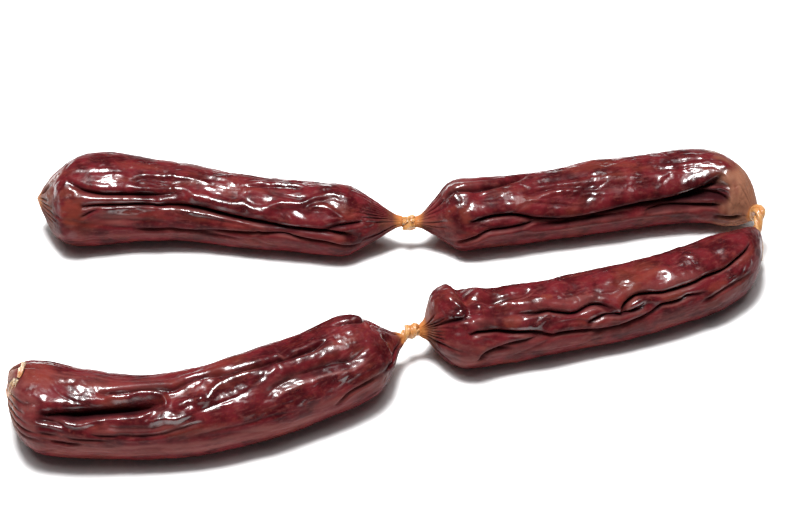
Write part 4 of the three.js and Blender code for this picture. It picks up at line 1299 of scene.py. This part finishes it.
def wrung_piece(node, path, shape, seed, material):
    """Makes one piece of wrung casing and puts it in place of its node. Its spokes turn the other
    way round from a link's, so they are taken in reverse to face outwards."""
    points, fields = wrung_tube(path, shape["radii"], shape["turns"], seed)
    reverse = {field: values[:, ::-1] for field, values in fields.items()}
    place(woven_mesh("casing_" + node, points[:, ::-1], reverse), node, "casing", material)


class SAUSAGE_OT_frills(bpy.types.Operator):
    """Makes the loose frills of dried casing at the ends"""

    bl_idname = "sausage.frills"
    bl_label = "Make frills"

    def execute(self, context):
        material = dry_frill(context.scene.sausage_casing)
        for order, (name, frill) in enumerate(FRILLS.items()):
            points, fields = frill_skin(frill, FRILL_SEED + order)
            piece = woven_mesh(name, points, fields)
            piece.data.materials.append(material)
            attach(piece, "root")
        return {"FINISHED"}


class SAUSAGE_OT_casing(bpy.types.Operator):
    """Makes the wrung necks between the links and the cut tails at the free ends"""

    bl_idname = "sausage.casing"
    bl_label = "Make necks and tails"

    def execute(self, context):
        material = dried_casing(context.scene.sausage_casing)
        for order, (node, neck) in enumerate(NECKS.items()):
            wrung_piece(node, neck_path(neck), neck, NECK_SEED + order, material)
        for order, (node, tail) in enumerate(TAILS.items()):
            wrung_piece(node, tail_path(tail), tail, TAIL_SEED + order, material)
        return {"FINISHED"}


def hang_light(scene, name, size, power, centre, offset):
    """Hangs a square light at an offset from the centre, facing it."""
    light = bpy.data.lights.new(name, "AREA")
    light.shape = "SQUARE"
    light.size = size
    light.energy = power
    lamp = bpy.data.objects.new(name, light)
    scene.collection.objects.link(lamp)
    lamp.location = centre + offset
    lamp.rotation_mode = "QUATERNION"
    lamp.rotation_quaternion = (-offset).to_track_quat("-Z", "Y")


class SAUSAGE_OT_stage(bpy.types.Operator):
    """Sets the table, the lights and the camera"""

    bl_idname = "sausage.stage"
    bl_label = "Set the stage"

    def execute(self, context):
        settings = context.scene.sausage_stage
        scene = context.scene
        low, high = CAD_BOX
        centre = (low + high) / 2

        mesh = bpy.data.meshes.new("table")
        ways = ((-1, -1), (1, -1), (1, 1), (-1, 1))
        corners = [(TABLE_REACH * x, TABLE_REACH * y, 0) for x, y in ways]
        mesh.from_pydata(corners, [], [(0, 1, 2, 3)])
        table = bpy.data.objects.new("table", mesh)
        scene.collection.objects.link(table)
        material, tree, shader = new_material("white_table")
        white = (*settings.table, 1)
        set_inputs(tree, shader, {"Base Color": white, "Roughness": 0.7, "Specular IOR Level": 0.2})
        mesh.materials.append(material)

        world = bpy.data.worlds.new("white_room")
        world.use_nodes = True
        world.node_tree.nodes["Background"].inputs["Color"].default_value = (1, 1, 1, 1)
        world.node_tree.nodes["Background"].inputs["Strength"].default_value = settings.room
        scene.world = world

        hang_light(scene, "soft_key", KEY_SIZE, settings.key, centre, KEY_OFFSET)
        hang_light(scene, "soft_box", SOFTBOX_SIZE, settings.softbox, centre, SOFTBOX_OFFSET)

        camera = bpy.data.cameras.new("camera")
        camera.lens = settings.lens
        camera.sensor_width = 36.0
        camera.clip_start = 0.01
        camera.clip_end = 20.0
        eye = bpy.data.objects.new("camera", camera)
        scene.collection.objects.link(eye)
        elevation = math.radians(CAMERA_ELEVATION)
        backwards = Vector((0, -math.cos(elevation), math.sin(elevation)))
        eye.location = CAMERA_AIM + CAMERA_AWAY * backwards
        eye.rotation_mode = "QUATERNION"
        eye.rotation_quaternion = (CAMERA_AIM - eye.location).to_track_quat("-Z", "Y")
        scene.camera = eye
        scene.view_settings.view_transform = "Standard"
        return {"FINISHED"}


class SAUSAGE_PT_panel(bpy.types.Panel):
    """Lists the pieces of the string and their settings"""

    bl_label = "Cured sausage string"
    bl_idname = "SAUSAGE_PT_panel"
    bl_space_type = "VIEW_3D"
    bl_region_type = "UI"
    bl_category = "Sausage"

    def draw(self, context):
        for operator in OPERATORS:
            self.layout.operator(operator.bl_idname)
        for name, group in GROUPS.items():
            box = self.layout.box()
            for setting in group.__annotations__:
                box.prop(getattr(context.scene, name), setting)


OPERATORS = (SAUSAGE_OT_links, SAUSAGE_OT_casing, SAUSAGE_OT_frills, SAUSAGE_OT_stage)
GROUPS = {
    "sausage_skin": SkinSettings,
    "sausage_casing": CasingSettings,
    "sausage_stage": StageSettings,
}


def register():
    for item in (*GROUPS.values(), *OPERATORS, SAUSAGE_PT_panel):
        bpy.utils.register_class(item)
    for name, group in GROUPS.items():
        setattr(bpy.types.Scene, name, PointerProperty(type=group))


def unregister():
    for name in GROUPS:
        delattr(bpy.types.Scene, name)
    for item in reversed((*GROUPS.values(), *OPERATORS, SAUSAGE_PT_panel)):
        bpy.utils.unregister_class(item)


def main():
    """Makes every piece in order."""
    register()
    bpy.ops.sausage.links()
    bpy.ops.sausage.casing()
    bpy.ops.sausage.frills()
    bpy.ops.sausage.stage()


if __name__ == "__main__":
    main()
